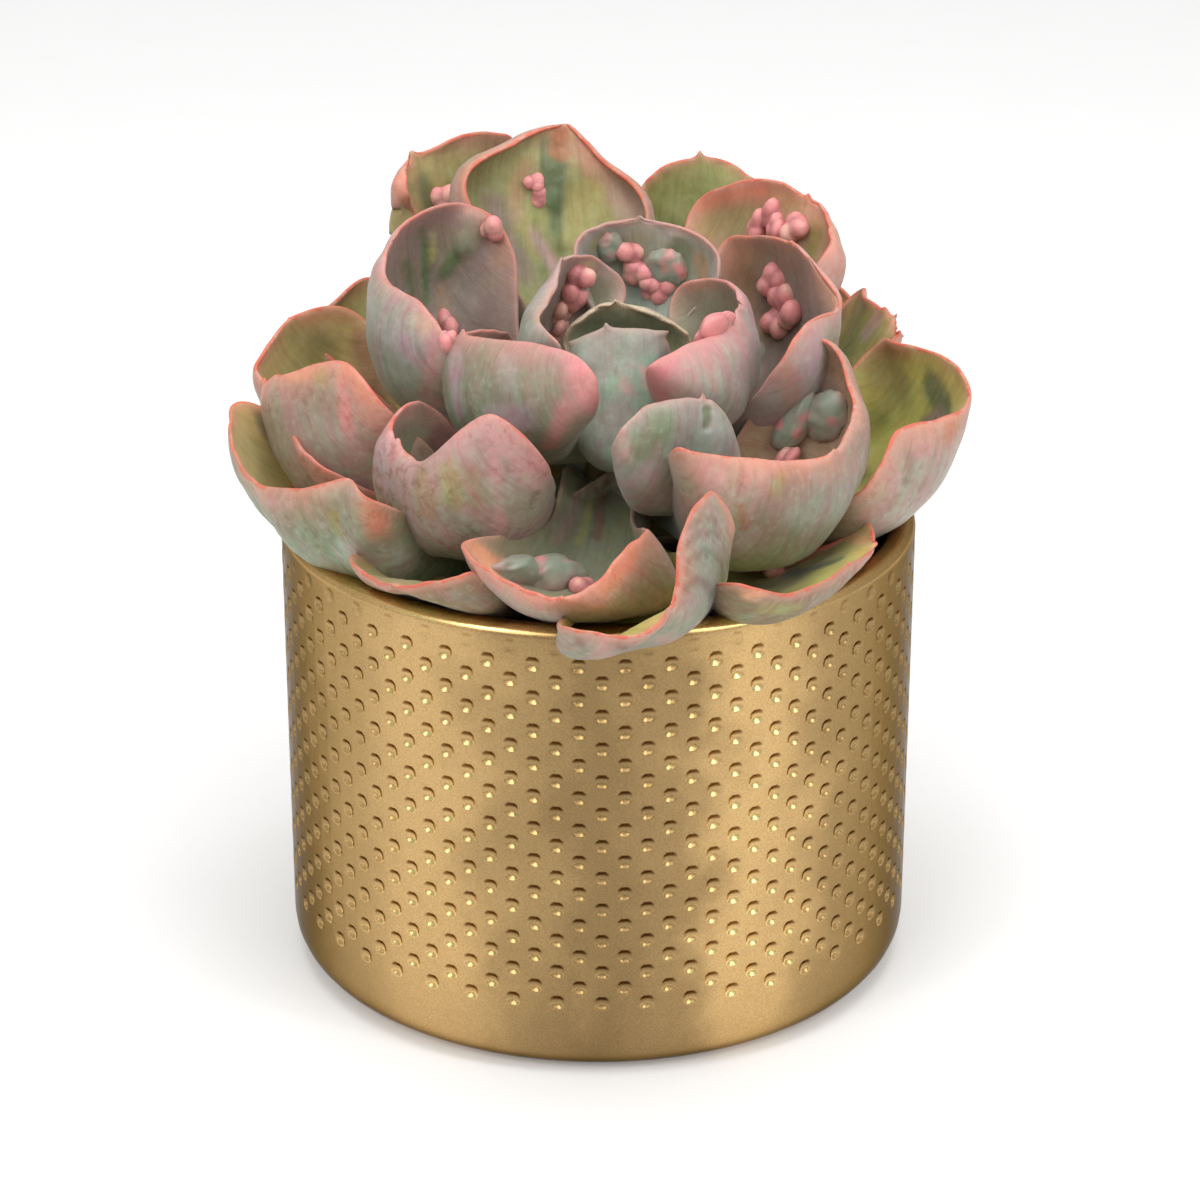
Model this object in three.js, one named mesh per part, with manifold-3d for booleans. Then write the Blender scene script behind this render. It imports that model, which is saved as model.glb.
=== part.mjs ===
// A rosette succulent with thick, cupped, waved leaves that carry pink growths, in a dimpled pot.
// Millimetres, +Z up. The origin is the centre of the pot's foot and -Y is the front.
import * as THREE from "three";
import { mergeVertices } from "three/addons/utils/BufferGeometryUtils.js";
import Module from "manifold-3d";

const wasm = await Module();
wasm.setup();

const RAD = Math.PI / 180;

// Driving dimensions of the pot
const POT_R = 70;
const POT_H = 104;
const POT_WALL = 5.6;
const POT_FLOOR = 7;
const FOOT_ROUND = 9;
const RIM_ROUND = 2.2;

// The dimples: rows half a pitch apart, drawn larger and fewer than life
const DIMPLES_ROUND = 26;
const DIMPLE_ROWS = 12;
const DIMPLE_FIRST_Z = 18;
const DIMPLE_LAST_Z = 97;
const DIMPLE_HALF_WIDE = 2.9;
const DIMPLE_HALF_TALL = 2.5;
const DIMPLE_DEPTH = 0.9;

// Driving dimensions of the soil and the stem
const FIT_GAP = 0.35;
const SOIL_TOP = 88;
const SOIL_ROUGH = 0.4;
const STEM_FOOT = new THREE.Vector3(2, 6, 74);
const STEM_TOP = new THREE.Vector3(4, -6, 128);
const STEM_FOOT_R = 14;
const STEM_TOP_R = 6;
const HOLE_DEPTH = 8;

// Driving dimensions of the leaves
const MARGIN_THICK = 1.3;
const BLADE_THICK = 4.2;
const NECK = [0.3, 0.3];
const CURL = [32, 32];
const HUG = [[0.45, 0.38], [0.45, 0.38]];
const TIP_ROUND = 0.5;

// The leaves, from the heart outwards, in millimetres.
// tip: the leaf's point. cw and acw: points that its clockwise and anticlockwise margins pass through on
// the way to the tip, seen from above. at: how far up the stem it grows. pitch: the midrib's slope in
// degrees at the stem and at the tip. az: the side it faces. reach: how far the midrib keeps each slope.
// thick: how fleshy it is. neck: where its narrow root widens, and how narrow that is. hug and curl, for
// each side: how far its cross-section bulges, and how far in its margin turns, in degrees.
// dips: for hollows in the margin, the place from -1 to 1, the depth and the width.
// lumps: the growths on it, each the place along and across, its radius and how far it stands up.
const LEAVES = [
  { name: "heart_front", color: 0x85877f, tip: [1.4, -13, 149.5], at: 0.9, pitch: [-10, 105], az: 0,
    thick: 3.6, reach: [1.2, 0.6], cw: [[-8, -12, 133], [-6, -12, 145]],
    acw: [[16, -10, 134], [14, -10, 147]] },
  { name: "heart_hood", color: 0x8f9a86, tip: [3.8, -1, 151.4], at: 0.98, pitch: [70, 125], az: 178,
    thick: 3, reach: [0.7, 0.7], cw: [[20, -3, 141], [16, -4, 148]],
    acw: [[-7, -3, 142], [-3, -4, 149]] },
  { name: "inner_left", color: 0xb0a498, tip: [-8.3, 2, 159.7], at: 0.93, pitch: [5, 115], az: -95,
    thick: 3.6, reach: [0.8, 0.5], cw: [[6, 10, 149], [1, 10, 157], [-4, 6, 160]],
    acw: [[-8, -22, 148], [-12, -14, 152], [-9, -5, 156]],
    lumps: [[0.63, -0.74, 2.3, 1.9], [0.54, -0.63, 2.4, 2], [0.49, -0.51, 2.2, 1.7],
      [0.41, -0.48, 2, 1.5]] },
  { name: "inner_back", color: 0x9a9484, tip: [9.1, 18, 164.3], at: 0.92, pitch: [30, 110],
    reach: [0.5, 0.5], cw: [[26, 8, 155], [20, 14, 163]], acw: [[-5, 8, 159], [0, 14, 164]],
    lumps: [[0.65, 0.53, 3.2, 1.8], [0.68, 0.14, 2.3, 1.8], [0.59, 0.02, 2.5, 2],
      [0.52, -0.08, 2.1, 1.6], [0.6, -0.27, 4.4, 2.2], [0.51, -0.19, 2.4, 1.6]] },
  { name: "inner_right", color: 0xa88c8c, tip: [29.9, -8, 151], at: 0.9, pitch: [5, 115], az: 80,
    reach: [0.7, 0.5], cw: [[10, -32, 146], [16, -28, 150], [24, -17, 150]],
    acw: [[16, 8, 150], [24, 5, 155], [29, -2, 155]],
    lumps: [[0.81, -1, 2.8, -1.8], [0.88, -1, 2, -1.6]] },
  { name: "mid_left_front", color: 0x9d9088, tip: [-28.9, -16, 149.2], at: 0.85, pitch: [0, 110],
    az: -62, reach: [0.7, 0.5], cw: [[-18, 0, 142], [-21, -4, 146], [-26, -10, 148]],
    acw: [[0, -38, 143], [-4, -36, 151], [-18, -26, 151]] },
  { name: "mid_front", color: 0x9a9a88, tip: [21.7, -38, 142.6], at: 0.8, pitch: [-15, 105], az: 22,
    reach: [0.7, 0.5], cw: [[3, -50, 137], [9, -48, 144], [16, -42, 144]],
    acw: [[28, -28, 124], [28, -32, 134], [24, -36, 141]] },
  { name: "left_front", color: 0x9d8072, tip: [-42, -36, 132], at: 0.72, pitch: [-20, 105],
    reach: [0.7, 0.5], cw: [[-34, -16, 132], [-39, -24, 137], [-43, -31, 135]],
    acw: [[-10, -46, 131], [-22, -48, 143], [-35, -42, 130]] },
  { name: "left", color: 0x978c7c, tip: [-45.3, 10, 160.6], at: 0.76, pitch: [0, 110],
    reach: [0.6, 0.5], cw: [[-19, 26, 155], [-29, 28, 165], [-41, 18, 164]],
    acw: [[-31, -14, 146], [-37, -8, 153], [-45, 2, 155]],
    lumps: [[0.45, -0.46, 2.3, 1.4], [0.42, 1, 1.9, -1.2], [0.48, -0.96, 2.2, 1]] },
  { name: "back_left_top", color: 0x948a68, tip: [-7.5, 50, 176.8], at: 0.7, pitch: [25, 80],
    hug: [[0.45, 0.5], [0.45, 0.5]], curl: [112, 112], cw: [[11, 44, 157], [0, 47, 170]],
    acw: [[-29, 38, 164], [-18, 45, 174]], lumps: [[0.66, 0.3, 1.9, 1.2], [0.63, 0.22, 2.1, 1.3]] },
  { name: "right", color: 0xa08d7c, tip: [46.4, 8, 157.8], at: 0.74, pitch: [5, 105],
    reach: [0.6, 0.5], cw: [[37, -22, 143], [43, -18, 152], [52, -4, 152]],
    acw: [[26, 28, 153], [34, 24, 159], [42, 14, 161]],
    lumps: [[0.57, 0.67, 2.6, 1.8], [0.58, 0.52, 2.8, 2.2], [0.51, 0.43, 2.6, 1.8],
      [0.6, 0.36, 2.6, 1.8]] },
  { name: "right_front", color: 0xae8474, tip: [48.9, -38, 130.3], at: 0.7, pitch: [-20, 90],
    reach: [0.7, 0.5], hug: [[0.45, 0.38], [0.35, 0.3]], curl: [32, 80],
    cw: [[15, -50, 136], [24, -50, 135], [38, -44, 131]],
    acw: [[45, -14, 147], [53, -22, 139], [52, -32, 134]],
    lumps: [[0.32, 0.68, 4.2, 2.2], [0.36, 0.64, 4, 2.2], [0.32, 0.56, 2.6, 1.8]] },
  { name: "back_left", color: 0x93926b, tip: [-42.3, 50, 169.8], at: 0.62, pitch: [15, 85],
    hug: [[0.45, 0.38], [0.6, 0.5]], curl: [32, 110], cw: [[-17, 64, 162], [-24, 62, 172]],
    acw: [[-39, 46, 152], [-43, 42, 164]], lumps: [[0.72, -0.19, 2.6, 2]] },
  { name: "back_right", color: 0x757548, tip: [23.6, 66, 165.3], at: 0.58, pitch: [15, 80],
    cw: [[39, 62, 152], [34, 68, 161]], acw: [[9, 58, 153], [13, 65, 162]] },
  { name: "back_right_2", color: 0xa58262, tip: [47.3, 42, 162.1], at: 0.66, pitch: [15, 85],
    hug: [[0.3, 0.35], [0.45, 0.38]], curl: [80, 32],
    cw: [[49, 28, 151], [52, 33, 158], [50, 38, 161]],
    acw: [[20, 54, 153], [31, 52, 163], [41, 46, 165]],
    lumps: [[0.65, 0.61, 2.6, 1.8], [0.72, 0.57, 2.8, 2], [0.74, 0.39, 2.2, 1.8],
      [0.81, 0.03, 2.8, 2]] },
  { name: "far_right", color: 0x97885a, tip: [79.9, -8, 131.3], at: 0.52, pitch: [-10, 80],
    cw: [[55, -30, 119], [63, -26, 131], [72, -18, 131]],
    acw: [[60, 18, 134], [67, 12, 138], [77, 0, 137]] },
  { name: "far_right_back", color: 0x7d7448, tip: [66.4, 30, 137.8], at: 0.54, pitch: [5, 60],
    hug: [[0.2, 0.2], [0.45, 0.38]], curl: [10, 32], cw: [[65, 27, 133], [67, 28, 135]],
    acw: [[57, 46, 137], [61, 38, 140]] },
  { name: "far_left", color: 0xa28a76, tip: [-72.4, -2, 133.5], at: 0.56, pitch: [-5, 90],
    cw: [[-52, 20, 141], [-66, 14, 144], [-74, 4, 138]],
    acw: [[-44, -24, 135], [-54, -18, 144], [-67, -9, 138]] },
  { name: "far_left_low", color: 0x8c8c76, tip: [-73, -30, 121], at: 0.48, pitch: [-12, 65],
    cw: [[-73, -4, 129], [-79, -14, 129], [-77, -24, 126]],
    acw: [[-46, -48, 124], [-52, -46, 128], [-62, -40, 124]] },
  { name: "far_left_mid", color: 0x9a7a6a, tip: [-66, -14, 127.1], at: 0.44, pitch: [-5, 60],
    cw: [[-64, -4, 128]], acw: [[-56, -26, 122]] },
  { name: "low_left_front", color: 0x948474, tip: [-41.4, -64, 112], at: 0.36, pitch: [-15, 25],
    cw: [[-50, -44, 110], [-47, -54, 110]], acw: [[-22, -66, 115], [-32, -70, 115]] },
  { name: "low_front", color: 0x8a6f5c, tip: [-7, -80, 115.2], at: 0.72, pitch: [-28, 35], az: -4,
    reach: [0.5, 0.36], neck: [0.3, 0.5], hug: [[0.4, 0.38], [0.8, 0.5]], curl: [25, 55],
    cw: [[-27, -60, 120], [-22, -74, 119], [-14, -80, 117]],
    acw: [[10, -60, 122], [6, -70, 123], [0, -78, 119]],
    lumps: [[0.33, -0.54, 4.4, 2.6], [0.29, -0.3, 4.6, 2.8], [0.31, -0.06, 2.2, 1.6]] },
  { name: "front_curl", color: 0x9a9080, tip: [13.7, -86, 116], at: 0.5, pitch: [-10, 48], az: 13,
    reach: [0.5, 0.36], neck: [0.28, 0.31], hug: [[0.6, 0.4], [0.42, 0.34]], curl: [30, 24],
    cw: [[-8, -80, 110], [0, -90, 112], [8, -91, 113]],
    acw: [[27, -58, 121], [23, -66, 133], [17, -80, 130]] },
  { name: "low_right_front", color: 0x948872, tip: [57.8, -36, 109.3], at: 0.36, pitch: [-15, 35],
    cw: [[26, -72, 116], [39, -68, 112], [52, -52, 111]],
    acw: [[49, -8, 107], [54, -18, 111], [58, -28, 111]],
    lumps: [[0.32, 0.31, 1.8, 1.6], [0.38, 0.37, 2.1, 1.8]] },
  { name: "low_right", color: 0x8f6f50, tip: [61.8, -14, 106], at: 0.34, pitch: [-10, 30],
    cw: [[56, -26, 108]], acw: [[59, -2, 105]] },
  { name: "behind_left", color: 0x8c8a68, tip: [-63.8, 38, 135.2], at: 0.5, pitch: [0, 75],
    cw: [[-49, 52, 139]], acw: [[-66, 20, 138]] },
  { name: "behind_mid_left", color: 0x86805f, tip: [-30.2, 76, 140.1], at: 0.46, pitch: [0, 70],
    cw: [[-13, 72, 147]], acw: [[-44, 64, 146]] },
  { name: "behind_mid_right", color: 0x8e8468, tip: [29.9, 78, 138.2], at: 0.48, pitch: [0, 70],
    cw: [[46, 66, 144]], acw: [[12, 76, 144]] },
  { name: "behind_right", color: 0x948858, tip: [63.8, 56, 127.8], at: 0.44, pitch: [0, 65],
    cw: [[65, 40, 129]], acw: [[49, 64, 135]] },
  { name: "low_behind", color: 0x8a8a68, tip: [-0.1, 72, 112.2], at: 0.32, pitch: [-5, 30],
    cw: [[16, 62, 113]], acw: [[-17, 62, 113]] },
  { name: "low_behind_left", color: 0x827c5c, tip: [-52.1, 48, 110.1], at: 0.33, pitch: [-5, 30],
    cw: [[-38, 56, 112]], acw: [[-58, 30, 112]] },
  { name: "low_behind_right", color: 0x8c8464, tip: [51.8, 50, 110.1], at: 0.35, pitch: [-5, 30],
    cw: [[58, 32, 111]], acw: [[38, 58, 111]] },
  { name: "low_left", color: 0x86886c, tip: [-66.1, -6, 112], at: 0.38, pitch: [-8, 35],
    cw: [[-61, 8, 115]], acw: [[-59, -22, 113]] },
];

// A direction from its turn about the vertical, where the front is 0, and its slope.
const aim = (az, pitch) =>
  new THREE.Vector3(Math.sin(az) * Math.cos(pitch), -Math.cos(az) * Math.cos(pitch), Math.sin(pitch));

// Where along a blade its margins pass their points, and the share of the midrib reached there.
const NECK_PLACE = 0.2;
const PLACES = {
  1: [[0.6, 0.8]],
  2: [[0.45, 0.62], [0.72, 0.88]],
  3: [[0.4, 0.55], [0.6, 0.75], [0.8, 0.92]],
};

// A leaf's midrib, a curve from the stem's axis to the leaf's point, with the two margins beside it.
const RIB_STEPS = 64;
function midribOf(leaf) {
  const tip = new THREE.Vector3(...leaf.tip);
  const root = STEM_FOOT.clone().lerp(STEM_TOP, leaf.at);
  const away = leaf.az === undefined ? Math.atan2(tip.x - root.x, root.y - tip.y) : leaf.az * RAD;
  const chord = tip.distanceTo(root);
  const [first, last] = leaf.reach ?? [0.5, 0.45];
  const curve = new THREE.CubicBezierCurve3(
    root,
    root.clone().addScaledVector(aim(away, leaf.pitch[0] * RAD), chord * first),
    tip.clone().addScaledVector(aim(away, leaf.pitch[1] * RAD), -chord * last),
    tip,
  );
  const points = curve.getPoints(RIB_STEPS);
  const lengths = [0];
  for (let i = 1; i <= RIB_STEPS; i++)
    lengths.push(lengths[i - 1] + points[i].distanceTo(points[i - 1]));
  const side = new THREE.Vector3(Math.cos(away), Math.sin(away), 0);
  const rib = { curve, lengths, tip, side };

  const places = PLACES[leaf.cw.length];
  const [neckShare, neckWidth] = leaf.neck ?? NECK;
  rib.places = [0, NECK_PLACE, ...places.map(([place]) => place), 1];
  rib.shares = [0, neckShare, ...places.map(([, share]) => share), 1].map((share) => [share]);
  const knots = [leaf.cw, leaf.acw].map((margin) => {
    const lobe = new THREE.Vector3(...margin[0]).sub(ribAt(rib, places[0][1]).point);
    const neck = [[0, 0.8 * neckWidth], [neckShare, neckWidth]].map(([share, width]) =>
      ribAt(rib, share).point.addScaledVector(lobe, width).toArray(),
    );
    return [...neck, ...margin, leaf.tip];
  });
  const step = 1 - places[places.length - 1][0];
  rib.margins = knots.map((own, hand) => {
    const from = own[own.length - 2];
    const other = knots[1 - hand][own.length - 2];
    const slope = leaf.tip.map((value, axis) => {
      const ahead = (value - from[axis]) / step;
      const across = (other[axis] - from[axis]) / (2 * step);
      return ahead * (1 - TIP_ROUND) + across * TIP_ROUND;
    });
    return { knots: own, slope };
  });
  return rib;
}

// A smooth curve through lists of numbers at given places, read at x, with a given slope at its end.
function through(places, values, x, lastSlope) {
  const last = places.length - 1;
  const slope = (k, axis) => {
    if (k === last && lastSlope) return lastSlope[axis];
    const [a, b] = [Math.max(0, k - 1), Math.min(last, k + 1)];
    return (values[b][axis] - values[a][axis]) / (places[b] - places[a]);
  };
  let i = 0;
  while (i < last - 1 && places[i + 1] <= x) i++;
  const width = places[i + 1] - places[i];
  const u = (x - places[i]) / width;
  const [start, end] = [(1 + 2 * u) * (1 - u) * (1 - u), u * u * (3 - 2 * u)];
  const [leave, arrive] = [width * u * (1 - u) * (1 - u), -width * u * u * (1 - u)];
  return values[i].map((value, axis) => {
    const held = value * start + values[i + 1][axis] * end;
    return held + slope(i, axis) * leave + slope(i + 1, axis) * arrive;
  });
}

// The midrib's point, its direction and the direction across it, at a share of its length.
function ribAt(rib, share) {
  const length = rib.lengths[RIB_STEPS] * share;
  let i = 0;
  while (i < RIB_STEPS - 1 && rib.lengths[i + 1] <= length) i++;
  const part = (length - rib.lengths[i]) / (rib.lengths[i + 1] - rib.lengths[i]);
  const u = Math.min(1, (i + part) / RIB_STEPS);
  const tangent = rib.curve.getTangent(u);
  const side = rib.side.clone().addScaledVector(tangent, -rib.side.dot(tangent)).normalize();
  return { point: rib.curve.getPoint(u), tangent, side };
}

// A point of the blade's middle surface. r runs from the root to the point, t across it from -1 to 1.
function bladePoint(leaf, rib, r, t, grow) {
  const share = Math.min(1, Math.max(0, through(rib.places, rib.shares, r)[0]));
  const { point, tangent, side } = ribAt(rib, share);
  const [hand, which] = t < 0 ? [-1, 0] : [1, 1];
  const margin = rib.margins[which];
  const out = new THREE.Vector3(...through(rib.places, margin.knots, r, margin.slope)).sub(point);
  let size = out.length();
  if (size < 1e-6) return point;
  out.divideScalar(size);
  for (const [place, depth, spread] of leaf.dips ?? [])
    size -= depth * Math.exp(-Math.pow((hand * (1 - r) - place) / spread, 2));
  size = Math.max(0, size) + grow;
  const curl = (leaf.curl ?? CURL)[which] * RAD;
  const hug = (leaf.hug ?? HUG)[which];
  const inward = tangent.clone().cross(out).multiplyScalar(hand).normalize();
  const curled = out.clone().multiplyScalar(Math.cos(curl)).addScaledVector(inward, Math.sin(curl));
  const a = Math.abs(t);
  const near = 3 * (1 - a) * (1 - a) * a;
  const far = 3 * (1 - a) * a * a;
  return point
    .addScaledVector(side, near * hug[0] * hand * size)
    .addScaledVector(out, (far + a * a * a) * size)
    .addScaledVector(curled, -far * hug[1] * size);
}

// The blade's thickness: fleshy along the middle and at the root, thin at the margin.
function thicknessAt(leaf, r, t) {
  const full = (leaf.thick ?? BLADE_THICK) * (1 - 0.35 * r);
  const inside = (1 - Math.pow(Math.abs(t), 2.5)) * (1 - Math.pow(r, 9));
  return MARGIN_THICK + (full - MARGIN_THICK) * inside;
}

function bladeNormal(leaf, rib, r, t, grow) {
  const step = 0.01;
  const [r0, r1] = [Math.max(0, r - step), Math.min(1, r + step)];
  const [t0, t1] = t < 0 ? [t, t + step] : [t - step, t];
  const along = bladePoint(leaf, rib, r1, t, grow).sub(bladePoint(leaf, rib, r0, t, grow));
  const across = bladePoint(leaf, rib, r, t1, grow).sub(bladePoint(leaf, rib, r, t0, grow));
  return along.cross(across).normalize();
}

// A closed leaf: an upper and a lower face, split alike into triangles and joined round the margin.
const ALONG = [0.05, 0.2, 0.36, 0.5, 0.64, 0.78, 0.91];
const ACROSS = [-1, -0.72, -0.38, 0, 0.38, 0.72, 1];
const NEAR_TIP = 0.985;
function leafSolid(leaf, grow) {
  const rib = midribOf(leaf);
  const positions = [];
  const triangles = [];
  const put = (p) => positions.push(p.x, p.y, p.z) / 3 - 1;
  const pair = (mid, normal, half) => [
    put(mid.clone().addScaledVector(normal, half)),
    put(mid.clone().addScaledVector(normal, -half)),
  ];
  const rows = ALONG.map((r) =>
    ACROSS.map((t) =>
      pair(
        bladePoint(leaf, rib, r, t, grow),
        bladeNormal(leaf, rib, r, t, grow),
        thicknessAt(leaf, r, t) / 2 + grow,
      ),
    ),
  );
  const tipNormal = bladeNormal(leaf, rib, NEAR_TIP, 0, grow);
  const tip = rib.tip.clone().addScaledVector(ribAt(rib, 1).tangent, grow);
  const tipPair = pair(tip, tipNormal, MARGIN_THICK / 2 + grow);
  rows.push(ACROSS.map(() => tipPair));
  const face = (a, b, c) => {
    if (a !== b && b !== c && a !== c) triangles.push(a, b, c);
  };
  const lastColumn = ACROSS.length - 1;
  for (let i = 0; i < rows.length - 1; i++) {
    for (let j = 0; j < lastColumn; j++) {
      const [a, b, c, d] = [rows[i][j], rows[i][j + 1], rows[i + 1][j + 1], rows[i + 1][j]];
      face(a[0], d[0], c[0]);
      face(a[0], c[0], b[0]);
      face(a[1], c[1], d[1]);
      face(a[1], b[1], c[1]);
    }
    const [a, d] = [rows[i][0], rows[i + 1][0]];
    face(a[0], a[1], d[1]);
    face(a[0], d[1], d[0]);
    const [b, c] = [rows[i][lastColumn], rows[i + 1][lastColumn]];
    face(b[0], c[1], b[1]);
    face(b[0], c[0], c[1]);
  }
  for (let j = 0; j < lastColumn; j++) {
    const [a, b] = [rows[0][j], rows[0][j + 1]];
    face(a[0], b[0], b[1]);
    face(a[0], b[1], a[1]);
  }
  let solid = solidFrom(positions, triangles);
  for (const [r, t, radius, up] of leaf.lumps ?? []) {
    const seat = bladePoint(leaf, rib, r, t, 0);
    seat.addScaledVector(bladeNormal(leaf, rib, r, t, 0), up);
    const ball = new THREE.IcosahedronGeometry(radius + grow, 0).translate(seat.x, seat.y, seat.z);
    solid = solid.add(solidOf(ball));
  }
  return solid;
}

function solidFrom(positions, triangles) {
  return new wasm.Manifold(
    new wasm.Mesh({
      numProp: 3,
      vertProperties: new Float32Array(positions),
      triVerts: new Uint32Array(triangles),
    }),
  );
}

// A geometry as a solid for joins and cuts, with vertices nearer than the tolerance made one.
function solidOf(geometry, tolerance = 1e-4) {
  const bare = geometry.clone();
  bare.deleteAttribute("normal");
  bare.deleteAttribute("uv");
  const merged = mergeVertices(bare, tolerance);
  return solidFrom(merged.attributes.position.array, merged.index.array);
}

// A solid as a geometry for its mesh.
function geometryOf(solid) {
  const mesh = solid.getMesh();
  const geometry = new THREE.BufferGeometry();
  geometry.setAttribute("position", new THREE.BufferAttribute(mesh.vertProperties.slice(), 3));
  geometry.setIndex(new THREE.BufferAttribute(mesh.triVerts.slice(), 1));
  return geometry;
}

// The largest body of a solid that a cut may have parted, without slivers.
const SLIVER = 0.3;
const MERGE = 2e-3;
function largest(solid) {
  const larger = (best, body) => (body.volume() > best.volume() ? body : best);
  const biggest = (bodies) => bodies.reduce(larger);
  const body = biggest(solid.decompose()).simplify(SLIVER);
  return biggest(solidOf(geometryOf(body), MERGE).decompose());
}

const group = new THREE.Group();
function add(name, solid, color, roughness, metalness) {
  const material = new THREE.MeshStandardMaterial({ color, roughness, metalness });
  const mesh = new THREE.Mesh(geometryOf(solid), material);
  mesh.name = name;
  group.add(mesh);
}

// Pot: rings from the inner floor over the rim, then the dimpled wall, then rings under to the foot.
function potSolid() {
  const positions = [];
  const triangles = [];
  const sides = DIMPLES_ROUND * 2;
  const put = (radius, angle, z) =>
    positions.push(radius * Math.sin(angle), -radius * Math.cos(angle), z) / 3 - 1;
  const ring = ([radius, z]) =>
    Array.from({ length: sides }, (_, i) => put(radius, (i * 2 * Math.PI) / sides, z));
  const face = (a, b, c) => triangles.push(a, b, c);
  const strip = (upper, lower) => {
    for (let i = 0; i < sides; i++) {
      const k = (i + 1) % sides;
      face(upper[i], lower[i], lower[k]);
      face(upper[i], lower[k], upper[k]);
    }
  };
  const inner = POT_R - POT_WALL;
  const rim = [[inner, POT_H - 1.4], [inner + 1.4, POT_H], [POT_R - RIM_ROUND, POT_H]];
  for (const angle of [60, 30, 0])
    rim.push([
      POT_R - RIM_ROUND + RIM_ROUND * Math.cos(angle * RAD),
      POT_H - RIM_ROUND + RIM_ROUND * Math.sin(angle * RAD),
    ]);
  const foot = [];
  for (const angle of [0, 22.5, 45, 67.5, 90])
    foot.push([
      POT_R - FOOT_ROUND + FOOT_ROUND * Math.cos(angle * RAD),
      FOOT_ROUND - FOOT_ROUND * Math.sin(angle * RAD),
    ]);
  const rimRings = [[inner, POT_FLOOR], ...rim].map(ring);
  const footRings = foot.map(ring);
  for (let i = 0; i < rimRings.length - 1; i++) strip(rimRings[i], rimRings[i + 1]);
  for (let i = 0; i < footRings.length - 1; i++) strip(footRings[i], footRings[i + 1]);
  const floorCentre = put(0, 0, POT_FLOOR);
  const footCentre = put(0, 0, 0);
  const under = footRings[footRings.length - 1];
  for (let i = 0; i < sides; i++) {
    const k = (i + 1) % sides;
    face(floorCentre, rimRings[0][i], rimRings[0][k]);
    face(footCentre, under[k], under[i]);
  }
  const top = rimRings[rimRings.length - 1];
  dimples(top, footRings[0], put, face);
  return solidFrom(positions, triangles);
}

// The wall's dimples: each a shallow pit of four sides, every other row moved on by half a pitch.
function dimples(top, bottom, put, face) {
  const pitch = (2 * Math.PI) / DIMPLES_ROUND;
  const halfAngle = DIMPLE_HALF_WIDE / POT_R;
  const rows = Array.from({ length: DIMPLE_ROWS }, (_, k) => {
    const z = DIMPLE_LAST_Z + ((DIMPLE_FIRST_Z - DIMPLE_LAST_Z) * k) / (DIMPLE_ROWS - 1);
    return Array.from({ length: DIMPLES_ROUND }, (_, i) => {
      const angle = (i + (k % 2) / 2) * pitch;
      const dimple = {
        pit: put(POT_R - DIMPLE_DEPTH, angle, z),
        right: put(POT_R, angle + halfAngle, z),
        left: put(POT_R, angle - halfAngle, z),
        over: put(POT_R, angle, z + DIMPLE_HALF_TALL),
        under: put(POT_R, angle, z - DIMPLE_HALF_TALL),
      };
      face(dimple.pit, dimple.right, dimple.over);
      face(dimple.pit, dimple.over, dimple.left);
      face(dimple.pit, dimple.left, dimple.under);
      face(dimple.pit, dimple.under, dimple.right);
      return dimple;
    });
  });
  const next = (row, i) => row[(i + DIMPLES_ROUND) % DIMPLES_ROUND];
  for (let k = 0; k < DIMPLE_ROWS - 1; k++)
    for (let i = 0; i < DIMPLES_ROUND; i++) {
      const dimple = rows[k][i];
      const beside = next(rows[k], i + 1);
      const lowerLeft = next(rows[k + 1], i - 1 + (k % 2));
      const lowerRight = next(rows[k + 1], i + (k % 2));
      face(dimple.right, lowerRight.over, beside.left);
      face(dimple.under, lowerLeft.right, lowerRight.left);
      face(dimple.under, lowerRight.left, lowerRight.over);
      face(dimple.under, lowerRight.over, dimple.right);
      face(dimple.left, lowerLeft.over, lowerLeft.right);
      face(dimple.left, lowerLeft.right, dimple.under);
    }
  const sides = DIMPLES_ROUND * 2;
  for (let i = 0; i < DIMPLES_ROUND; i++) {
    const [a, b, c] = [top[2 * i], top[2 * i + 1], top[(2 * i + 2) % sides]];
    const [dimple, beside] = [rows[0][i], next(rows[0], i + 1)];
    face(a, dimple.over, b);
    face(dimple.over, dimple.right, b);
    face(dimple.right, beside.left, b);
    face(beside.left, beside.over, b);
    face(beside.over, c, b);
  }
  const lastRow = rows[DIMPLE_ROWS - 1];
  const shift = (DIMPLE_ROWS - 1) % 2;
  for (let i = 0; i < DIMPLES_ROUND; i++) {
    const at = (n) => bottom[(2 * i + n + shift + sides) % sides];
    const [dimple, beside] = [lastRow[i], next(lastRow, i + 1)];
    face(dimple.under, at(0), at(1));
    face(dimple.under, at(1), dimple.right);
    face(dimple.right, at(1), beside.left);
    face(beside.left, at(1), beside.under);
    face(beside.under, at(1), at(2));
  }
}

// Stem: a tapered trunk that leans, with its foot in the soil.
function stemSolid(grow) {
  const lean = STEM_TOP.clone().sub(STEM_FOOT);
  const length = lean.length() + HOLE_DEPTH + 2 * grow;
  const trunk = new THREE.CylinderGeometry(STEM_TOP_R + grow, STEM_FOOT_R + grow, length, 14, 3);
  const middle = STEM_FOOT.clone().add(STEM_TOP).multiplyScalar(0.5);
  middle.addScaledVector(lean.clone().normalize(), -HOLE_DEPTH / 2);
  const up = new THREE.Vector3(0, 1, 0);
  trunk.applyQuaternion(new THREE.Quaternion().setFromUnitVectors(up, lean.clone().normalize()));
  trunk.translate(middle.x, middle.y, middle.z);
  return solidOf(trunk);
}

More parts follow.
